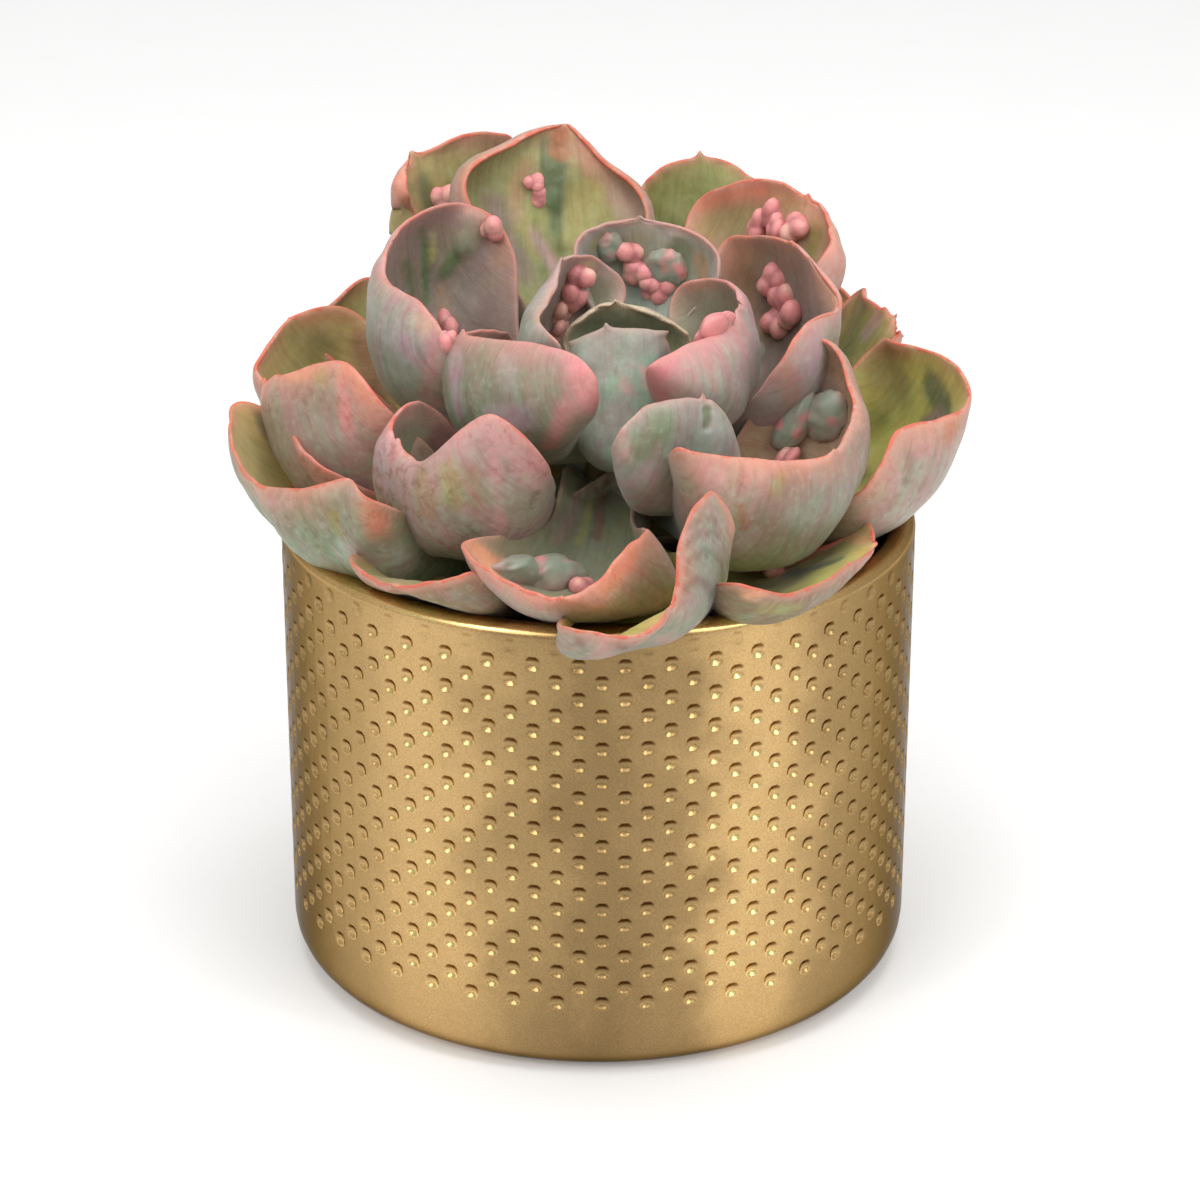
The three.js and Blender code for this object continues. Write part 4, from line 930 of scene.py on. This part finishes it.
class Nodes:
    """The nodes of a material or a world. A source is another node's output, or a value."""

    def __init__(self, owner, shader="Principled BSDF"):
        owner.use_nodes = True
        self.owner = owner
        self.tree = owner.node_tree
        self.shader = self.tree.nodes[shader]

    def fill(self, node, sources):
        for name, source in sources.items():
            socket = node.inputs[name]
            if hasattr(source, "is_output"):
                self.tree.links.new(source, socket)
            elif socket.type == "RGBA":
                socket.default_value = (*source, 1)
            else:
                socket.default_value = source

    def build(self, kind, sources, output=0, **settings):
        node = self.tree.nodes.new(kind)
        for key, value in settings.items():
            setattr(node, key, value)
        self.fill(node, sources)
        return node.outputs[output]

    def attribute(self, name, output="Fac"):
        return self.build("ShaderNodeAttribute", {}, output, attribute_name=name)

    def place(self, space="Object"):
        return self.build("ShaderNodeTexCoord", {}, space)

    def part(self, vector, axis):
        return self.build("ShaderNodeSeparateXYZ", {0: vector}, "XYZ"[axis])

    def math(self, operation, a, b, clamp=False):
        return self.build("ShaderNodeMath", {0: a, 1: b}, operation=operation, use_clamp=clamp)

    def vector(self, operation, a, b, output="Vector"):
        return self.build("ShaderNodeVectorMath", {0: a, 1: b}, output, operation=operation)

    def ramp(self, value, low, high, out_low=0.0, out_high=1.0):
        sources = {"Value": value, "From Min": low, "From Max": high, "To Min": out_low, "To Max": out_high}
        return self.build("ShaderNodeMapRange", sources, interpolation_type="SMOOTHSTEP")

    def mix(self, factor, a, b, blend="MIX"):
        settings = dict(data_type="RGBA", blend_type=blend, clamp_result=False)
        return self.build("ShaderNodeMix", {0: factor, 6: a, 7: b}, 2, **settings)

    def times(self, color, tint):
        return self.mix(1.0, color, tint, "MULTIPLY")

    def tinted(self, factor, color, tint):
        """A colour that goes over into itself times a tint."""
        return self.mix(factor, color, self.times(color, tint))

    def noise(self, vector, scale, detail=3.0, roughness=0.55, distortion=0.0):
        sources = {"Vector": vector, "Scale": scale, "Detail": detail, "Roughness": roughness}
        sources["Distortion"] = distortion
        return self.build("ShaderNodeTexNoise", sources, "Fac")

    def bump(self, height, strength, distance):
        return self.build("ShaderNodeBump", {"Height": height, "Strength": strength, "Distance": distance})

    def finish(self, sources):
        """Fills the shader and gives back what the nodes belong to."""
        self.fill(self.shader, sources)
        return self.owner


def new_material(name):
    return Nodes(bpy.data.materials.new(name))


def leaf_material():
    n = new_material("leaf_skin")
    edge, face, flush, line, mottle, lump = (
        n.attribute(name) for name in ("edge", "face", "flush", "line", "mottle", "lump")
    )
    grain = n.attribute("grain", "Vector")
    tone = n.attribute("tone", "Color")
    blush = n.attribute("blush", "Color")
    coords = n.place()

    streaks = n.noise(n.vector("MULTIPLY", grain, (0.5, 0.045, 1)), 1.0, 4, 0.6, 0.4)
    fine_streaks = n.noise(n.vector("MULTIPLY", grain, (1.7, 0.16, 1)), 1.0, 3, 0.6, 0.2)
    patches = n.noise(coords, 90, 3, 0.55, 0.3)
    broad = n.noise(n.vector("MULTIPLY", grain, (0.13, 0.08, 1)), 1.0, 4, 0.62, 1.2)
    specks = n.noise(coords, 1100, 3, 0.65)
    freckles = n.noise(coords, 520, 3, 0.6)

    # Skin: green and mauve run into one another along the leaf, more so outside than inside
    redder = n.times(tone, (1.0, 0.84, 0.87))
    outer_skin = n.mix(n.ramp(broad, 0.38, 0.62), n.times(tone, (0.84, 1.02, 0.9)), redder)
    inner_skin = n.mix(n.ramp(broad, 0.4, 0.62, 0, 0.55), tone, redder)
    skin = n.mix(face, outer_skin, inner_skin)
    # Darker streaks, paler patches and dark freckles
    darker = n.mix(face, (0.78, 0.7, 0.7), (0.7, 0.78, 0.68))
    skin = n.tinted(n.ramp(streaks, 0.47, 0.68, 0, 0.6), skin, darker)
    paler = n.mix(face, (1.1, 1.13, 1.1), (1.2, 1.16, 0.9))
    skin = n.tinted(n.ramp(patches, 0.48, 0.68, 0, 0.6), skin, paler)
    skin = n.tinted(n.ramp(fine_streaks, 0.5, 0.68, 0, 0.32), skin, (0.84, 0.76, 0.74))
    skin = n.tinted(n.ramp(freckles, 0.46, 0.64, 0, 0.32), skin, (0.88, 0.76, 0.74))
    # A pale bloom, thinner inside
    bloom = n.math("MULTIPLY", n.ramp(freckles, 0.46, 0.3, 0, 0.22), n.ramp(face, 0, 1, 1, 0.4))
    skin = n.mix(bloom, skin, linear(BLOOM))
    # Blush of the margins, broken by the streaks
    blushed = n.math("MULTIPLY", flush, n.ramp(fine_streaks, 0.3, 0.64, 1.15, 0.7), clamp=True)
    skin = n.mix(blushed, skin, blush)
    # Brown freckles on the outside
    outside = n.math("SUBTRACT", 1.0, face, clamp=True)
    spots = n.math("MULTIPLY", n.ramp(freckles, 0.5, 0.62), n.ramp(patches, 0.4, 0.6, 0.15, 1))
    spots = n.math("MULTIPLY", spots, n.math("MULTIPLY", mottle, outside))
    skin = n.tinted(n.math("MULTIPLY", spots, 0.6), skin, (0.6, 0.5, 0.42))
    # Margin: a pale glow, then a thin coral line that comes and goes
    glow = n.math("MULTIPLY", n.ramp(edge, 0.5, 2.2, 0.38, 0), n.ramp(line, 0, 1, 0.4, 1))
    skin = n.mix(glow, skin, linear(MARGIN_GLOW))
    uneven = n.math("ADD", edge, n.ramp(broad, 0.35, 0.65, -0.2, 0.5))
    thin_line = n.math("MULTIPLY", n.ramp(uneven, 0.15, 0.75, 0.9, 0), line)
    skin = n.mix(thin_line, skin, linear(MARGIN_LINE))
    # Growths keep their own colours
    skin = n.mix(lump, skin, n.tinted(n.ramp(patches, 0.4, 0.65, 0, 0.3), tone, (1.15, 1.1, 1.1)))
    skin = n.tinted(n.ramp(specks, 0.38, 0.7, 0, 0.3), skin, (1.18, 1.17, 1.16))
    rough = n.math("ADD", n.ramp(streaks, 0.3, 0.7, 0.44, 0.54), n.ramp(specks, 0.3, 0.7, -0.04, 0.06))
    rough = n.math("SUBTRACT", rough, n.math("MULTIPLY", lump, 0.1))
    height = n.math("ADD", n.math("MULTIPLY", fine_streaks, 0.7), n.math("MULTIPLY", specks, 0.25))
    return n.finish({
        "Base Color": skin,
        "Roughness": rough,
        "Normal": n.bump(height, 0.3, 0.0004),
        "Subsurface Weight": 0.1,
        "Subsurface Radius": (1.0, 0.45, 0.3),
        "Subsurface Scale": 0.0012,
        "Sheen Weight": 0.15,
        "Sheen Roughness": 0.4,
        "Specular IOR Level": 0.4,
    })


# How light the satin gold looks round the pot, a painted reflection of the studio: degrees from the front,
# and the share of its full tone
PAINTED_REFLECTION_BANDS = [
    (-180, 0.8), (-150, 1.0), (-120, 0.65), (-92, 0.5), (-70, 0.55), (-50, 0.85), (-31, 1.15), (-12, 0.7),
    (0, 0.52), (12, 0.66), (27, 1.25), (49, 0.7), (72, 0.55), (92, 0.5), (120, 0.9), (150, 0.6), (180, 0.8),
]


def glaze_material():
    n = new_material("gold_glaze")
    coords = n.place()
    grain = n.noise(coords, 2600, 2, 0.6)
    cloud = n.noise(coords, 60, 3, 0.5)
    tint = n.mix(n.ramp(grain, 0.35, 0.65), linear(DARK_GOLD), linear(LIGHT_GOLD))
    # Painted reflection: the gold lighter and darker in bands round the pot, as its surroundings would show
    # in it
    turn = n.math("ARCTAN2", n.part(coords, 0), n.math("MULTIPLY", n.part(coords, 1), -1))
    turn = n.math("ADD", n.math("DIVIDE", turn, FULL_TURN), n.ramp(cloud, 0.2, 0.8, 0.485, 0.515))
    painted_reflection = n.build("ShaderNodeValToRGB", {0: turn})
    painted_reflection.node.color_ramp.interpolation = "EASE"
    stops = painted_reflection.node.color_ramp.elements
    while len(stops) < len(PAINTED_REFLECTION_BANDS):
        stops.new(1)
    for stop, (degrees, tone) in zip(stops, PAINTED_REFLECTION_BANDS):
        stop.position = (degrees + 180) / 360
        stop.color = (tone, tone, tone, 1)
    tint = n.times(tint, painted_reflection)
    # Painted shade in the upper part of each dimple and a painted highlight in its lower part, by which way
    # the surface faces. The foot has none.
    slope = n.part(n.build("ShaderNodeNewGeometry", {}, "Normal"), 2)
    wall = n.ramp(n.part(coords, 2), 0.013, 0.016)
    above = n.math("MULTIPLY", n.ramp(slope, -0.4, -0.06, 1, 0), wall)
    below = n.math("MULTIPLY", n.ramp(slope, 0.08, 0.4), wall)
    tint = n.tinted(above, tint, (0.36, 0.28, 0.2))
    tint = n.tinted(below, tint, (2.1, 2.05, 1.9))
    return n.finish({
        "Base Color": tint,
        "Roughness": n.ramp(grain, 0.3, 0.7, 0.2, 0.27),
        "Normal": n.bump(grain, 0.12, 0.00006),
        "Metallic": 1.0,
        "Specular Tint": (0.44, 0.41, 0.38),
    })


def soil_material():
    n = new_material("potting_soil")
    coords = n.place()
    crumbs = n.noise(coords, 420, 5, 0.65)
    bits = n.noise(coords, 160, 3, 0.6)
    tint = n.mix(n.ramp(crumbs, 0.35, 0.7), linear(DARK_SOIL), linear(LIGHT_SOIL))
    tint = n.mix(n.ramp(bits, 0.6, 0.72, 0, 0.7), tint, linear(BARK_CHIPS))
    rough = n.ramp(crumbs, 0.3, 0.7, 0.75, 0.95)
    return n.finish({"Base Color": tint, "Roughness": rough, "Normal": n.bump(crumbs, 0.9, 0.0012)})


def stem_material():
    n = new_material("stem_bark")
    fibres = n.noise(n.vector("MULTIPLY", n.place(), (1, 1, 0.2)), 500, 4, 0.6)
    tint = n.mix(n.ramp(fibres, 0.35, 0.65), linear(DARK_BARK), linear(LIGHT_BARK))
    rough = n.ramp(fibres, 0.3, 0.7, 0.6, 0.8)
    return n.finish({"Base Color": tint, "Roughness": rough, "Normal": n.bump(fibres, 0.6, 0.0008)})


# Pot and soil, in millimetres
POT_R = 70.0
POT_H = 104.0
POT_WALL = 5.6
POT_FLOOR = 7.0
FOOT_ROUND = 9.0
PLAIN_FOOT_Z = 12.5
RIM_ROUND = 2.2
SOIL_TOP = 88.0
# Rows of small round dimples, each a few rings that go in: share of the radius, share of the depth
DIMPLES_ROUND = 46
DIMPLE_ROWS = 23
DIMPLE_FIRST_Z = 18.0
DIMPLE_STEP_Z = 3.725
DIMPLE_R = 1.86
DIMPLE_DEPTH = 0.8
LAST_ROW_SHARE = 0.35
DIMPLE_RINGS = ((1.0, 0.0), (0.9, 0.1), (0.7, 0.42), (0.42, 0.84))
CELL_COLUMNS = 3
CELL_LEVELS = 3


def turned(radius, angle, z):
    """A point at a turn from the front, anticlockwise seen from above."""
    return radius * math.sin(angle), -radius * math.cos(angle), z


def arc(radius, middle_r, middle_z, angles):
    """Points of a quarter round as radius and height, at degrees above the horizontal."""
    return [(middle_r + radius * math.cos(a * RAD), middle_z + radius * math.sin(a * RAD)) for a in angles]


def pot_piece(material):
    """The pot as one surface: the dimpled wall, over the rim to the inside, and under the foot."""
    points, faces = [], []
    columns = DIMPLES_ROUND * 2 * CELL_COLUMNS

    def put(radius, angle, z):
        points.append(turned(radius, angle, z))
        return len(points) - 1

    def ring(radius, z):
        return [put(radius, i * FULL_TURN / columns, z) for i in range(columns)]

    def onward(first, profile, upwards):
        """Rings from a first one along a profile, with a lid over the last."""
        previous = first
        for radius, z in profile:
            here = ring(radius, z)
            upper, lower = (here, previous) if upwards else (previous, here)
            for i in range(columns):
                k = (i + 1) % columns
                faces.append([upper[i], lower[i], lower[k], upper[k]])
            previous = here
        faces.append(previous if upwards else previous[::-1])

    def dimple(border, angle, z, depth):
        """A round dimple inside the border of its cell."""
        sides = len(border)
        turns = []
        for p in border:
            x, y, height = points[p]
            away = math.atan2(x, -y) - angle
            away = (away + math.pi) % FULL_TURN - math.pi
            turns.append(math.atan2(height - z, away * POT_R))
        outer = border
        for share, drop in DIMPLE_RINGS:
            size = DIMPLE_R * share
            inner = [
                put(POT_R - depth * drop, angle + size / POT_R * math.cos(a), z + size * math.sin(a))
                for a in turns
            ]
            for i in range(sides):
                k = (i + 1) % sides
                faces.append([outer[i], outer[k], inner[k], inner[i]])
            outer = inner
        pit = put(POT_R - depth, angle, z)
        for i in range(sides):
            faces.append([outer[i], outer[(i + 1) % sides], pit])

    # The wall: cells half a pitch wide, every other one with a dimple
    cells = DIMPLES_ROUND * 2
    bottom_z = DIMPLE_FIRST_Z - DIMPLE_STEP_Z / 2
    levels = DIMPLE_ROWS * CELL_LEVELS
    grid = [ring(POT_R, bottom_z + k * DIMPLE_STEP_Z / CELL_LEVELS) for k in range(levels + 1)]
    for row in range(DIMPLE_ROWS):
        z = DIMPLE_FIRST_Z + row * DIMPLE_STEP_Z
        depth = DIMPLE_DEPTH * (LAST_ROW_SHARE if row == DIMPLE_ROWS - 1 else 1)
        for cell in range(cells):
            first = cell * CELL_COLUMNS - 1
            corners = [(first + i, 0) for i in range(CELL_COLUMNS)]
            corners += [(first + CELL_COLUMNS, k) for k in range(CELL_LEVELS)]
            corners += [(first + CELL_COLUMNS - i, CELL_LEVELS) for i in range(CELL_COLUMNS)]
            corners += [(first, CELL_LEVELS - k) for k in range(CELL_LEVELS)]
            border = [grid[row * CELL_LEVELS + k][i % columns] for i, k in corners]
            if (cell + row) % 2:
                faces.append(border)
            else:
                dimple(border, (first + CELL_COLUMNS / 2) * FULL_TURN / columns, z, depth)

    inner = POT_R - POT_WALL
    rim = arc(RIM_ROUND, POT_R - RIM_ROUND, POT_H - RIM_ROUND, (20, 40, 60, 80, 90))
    rim += [(inner + 1.6, POT_H), (inner + 0.8, POT_H - 0.25), (inner + 0.2, POT_H - 0.8)]
    rim += [(inner, z) for z in (POT_H - 1.6, POT_H - 12, SOIL_TOP - 6, POT_FLOOR + 2)]
    rim += [(inner - 2, POT_FLOOR)]
    onward(grid[-1], rim + [(1, POT_FLOOR)], True)
    foot = [(POT_R, PLAIN_FOOT_Z)]
    foot += arc(FOOT_ROUND, POT_R - FOOT_ROUND, FOOT_ROUND, (0, -15, -30, -45, -60, -75, -90))
    onward(grid[0], foot + [(57, 0), (56.2, 0.3), (55.6, 1.2), (54, 1.4), (1, 1.4)], False)
    return mesh_object("fine_pot", points, faces, {}, material)


SOIL_GAP = 0.35
SOIL_RINGS, SOIL_COLUMNS = 60, 150
CHIPS = 150


def soil_piece(material):
    """Rough potting soil with small chips of bark lying on it."""
    radius = POT_R - POT_WALL - SOIL_GAP
    angles = [i * FULL_TURN / SOIL_COLUMNS for i in range(SOIL_COLUMNS)]
    top = [turned(radius * k / SOIL_RINGS, a, SOIL_TOP) for k in range(SOIL_RINGS + 1) for a in angles]
    points = np.array(top)
    points[:, 2] += 1.2 * noise_at(points, 9, 5, 3) - 0.6 + 0.7 * noise_at(points, 2.5, 6, 2)
    count = len(points)
    points = np.concatenate([points, [turned(radius, a, POT_FLOOR + 0.5) for a in angles]])
    faces = []
    for k in range(SOIL_RINGS + 1):
        for i in range(SOIL_COLUMNS):
            here = k * SOIL_COLUMNS
            j = (i + 1) % SOIL_COLUMNS
            faces.append([here + i, here + SOIL_COLUMNS + i, here + SOIL_COLUMNS + j, here + j])
    faces.append([count + i for i in reversed(range(SOIL_COLUMNS))])
    ball, ball_faces = icosphere(1)
    rng = np.random.default_rng(9)
    parts = [points]
    count = len(points)
    for _ in range(CHIPS):
        angle = rng.uniform(0, FULL_TURN)
        away = radius * 0.97 * math.sqrt(rng.uniform(0.08, 1))
        size = rng.uniform(0.8, 2.6)
        chip = ball * [size * rng.uniform(*span) for span in ((0.6, 1.3), (0.5, 0.9), (0.3, 0.7))]
        turn = rng.uniform(0, math.pi)
        c, s = math.cos(turn), math.sin(turn)
        chip = chip @ np.array([[c, s, 0], [-s, c, 0], [0, 0, 1]])
        parts.append(chip + turned(min(away, radius - 2.8), angle, SOIL_TOP + 0.2))
        faces += [[i + count for i in f] for f in ball_faces]
        count += len(ball)
    return mesh_object("fine_soil", np.concatenate(parts), faces, {}, material)


STEM_RINGS, STEM_COLUMNS = 60, 48
STEM_RADII = (14, 6)
STEM_IN_SOIL = 8


def stem_piece(material):
    """A short stem with rough bark, from below the leaves' roots to the heart."""
    points, faces = [], []
    axis = unit(STEM_TOP - STEM_FOOT)
    across = unit(np.cross(axis, [0, 1, 0]))
    other = np.cross(axis, across)
    foot = STEM_FOOT - axis * STEM_IN_SOIL
    for k in range(STEM_RINGS + 1):
        share = k / STEM_RINGS
        centre = foot + (STEM_TOP - foot) * share
        for i in range(STEM_COLUMNS):
            angle = i * FULL_TURN / STEM_COLUMNS
            radius = STEM_RADII[0] + (STEM_RADII[1] - STEM_RADII[0]) * share
            radius *= 0.96 + 0.03 * math.sin(angle * 5 + k * 0.9) * math.sin(k * 0.7)
            points.append(centre + (across * math.cos(angle) + other * math.sin(angle)) * radius)
    for k in range(STEM_RINGS):
        for i in range(STEM_COLUMNS):
            here = k * STEM_COLUMNS
            j = (i + 1) % STEM_COLUMNS
            faces.append([here + i, here + j, here + STEM_COLUMNS + j, here + STEM_COLUMNS + i])
    faces.append(list(reversed(range(STEM_COLUMNS))))
    faces.append([STEM_RINGS * STEM_COLUMNS + i for i in range(STEM_COLUMNS)])
    return mesh_object("fine_stem", points, faces, {}, material)


def dress(piece, node):
    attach(piece, "root")
    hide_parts(node)


leaf_skin = leaf_material()
HIDDEN = [n for n in LEAVES if "behind" in n or n == "low_left"]
for number, (name, leaf) in enumerate(LEAVES.items()):
    toothed = dict(leaf, teeth=TEETH.get(name, []))
    fine = name not in HIDDEN
    dress(leaf_piece(name, toothed, number + 1, leaf_skin, fine), name)
dress(pot_piece(glaze_material()), "pot")
dress(soil_piece(soil_material()), "soil")
dress(stem_piece(stem_material()), "stem")

# Studio: a pale floor and soft lights, in metres, watts and degrees
FLOOR_HALF = 4
MIDDLE = (0, 0, 0.09)
WHITE = (1, 1, 1)
SKY_LEVEL = 0.46
# Soft lobes of light in the sky: azimuth, elevation, where each starts and ends to fade, strength
LOBES = ((-38, 38, 8, 22, 2.2), (50, 36, 8, 22, 2.3), (4, 46, 6, 22, 0.9))

floor_mesh = bpy.data.meshes.new("floor")
corners = [(x * FLOOR_HALF, y * FLOOR_HALF, 0) for x, y in ((-1, -1), (1, -1), (1, 1), (-1, 1))]
floor_mesh.from_pydata(corners, [], [(0, 1, 2, 3)])
floor = add_object("floor", floor_mesh)
paper = new_material("paper")
floor_mesh.materials.append(paper.finish({
    "Base Color": paper.mix(paper.noise(paper.place(), 30), (0.84, 0.84, 0.835), (0.87, 0.87, 0.865)),
    "Roughness": 0.9,
    "Emission Color": WHITE,
    "Emission Strength": 0.14,
}))


def around(azimuth, elevation, distance=1.0):
    """A place seen from the pot's middle: degrees from its front, degrees up, metres."""
    flat = distance * math.cos(elevation * RAD)
    return turned(flat, azimuth * RAD, MIDDLE[2] + distance * math.sin(elevation * RAD))


world = bpy.data.worlds.new("world")
bpy.context.scene.world = world
sky = Nodes(world, "Background")
light = SKY_LEVEL
for azimuth, elevation, inner, outer, strength in LOBES:
    toward = Vector(around(azimuth, elevation)) - Vector(MIDDLE)
    facing = sky.vector("DOT_PRODUCT", sky.place("Generated"), toward, "Value")
    lobe = sky.ramp(facing, math.cos(outer * RAD), math.cos(inner * RAD), 0, strength)
    light = sky.math("ADD", lobe, light)
sky.finish({"Color": WHITE, "Strength": light})


def softbox(name, where, width, height, power):
    """A soft light that looks at the pot's middle."""
    light = bpy.data.lights.new(name, "AREA")
    light.shape = "RECTANGLE"
    light.size = width
    light.size_y = height
    light.energy = power
    obj = add_object(name, light)
    obj.location = where
    direction = Vector(MIDDLE) - Vector(where)
    obj.rotation_euler = direction.to_track_quat("-Z", "Y").to_euler()


softbox("left", around(-42, 42, 0.9), 0.1, 0.2, 0.6)
softbox("right", around(54, 42, 0.9), 0.1, 0.2, 0.7)
softbox("top", around(0, 86, 1.1), 0.8, 0.8, 7.5)
bpy.context.scene.view_settings.view_transform = "Standard"
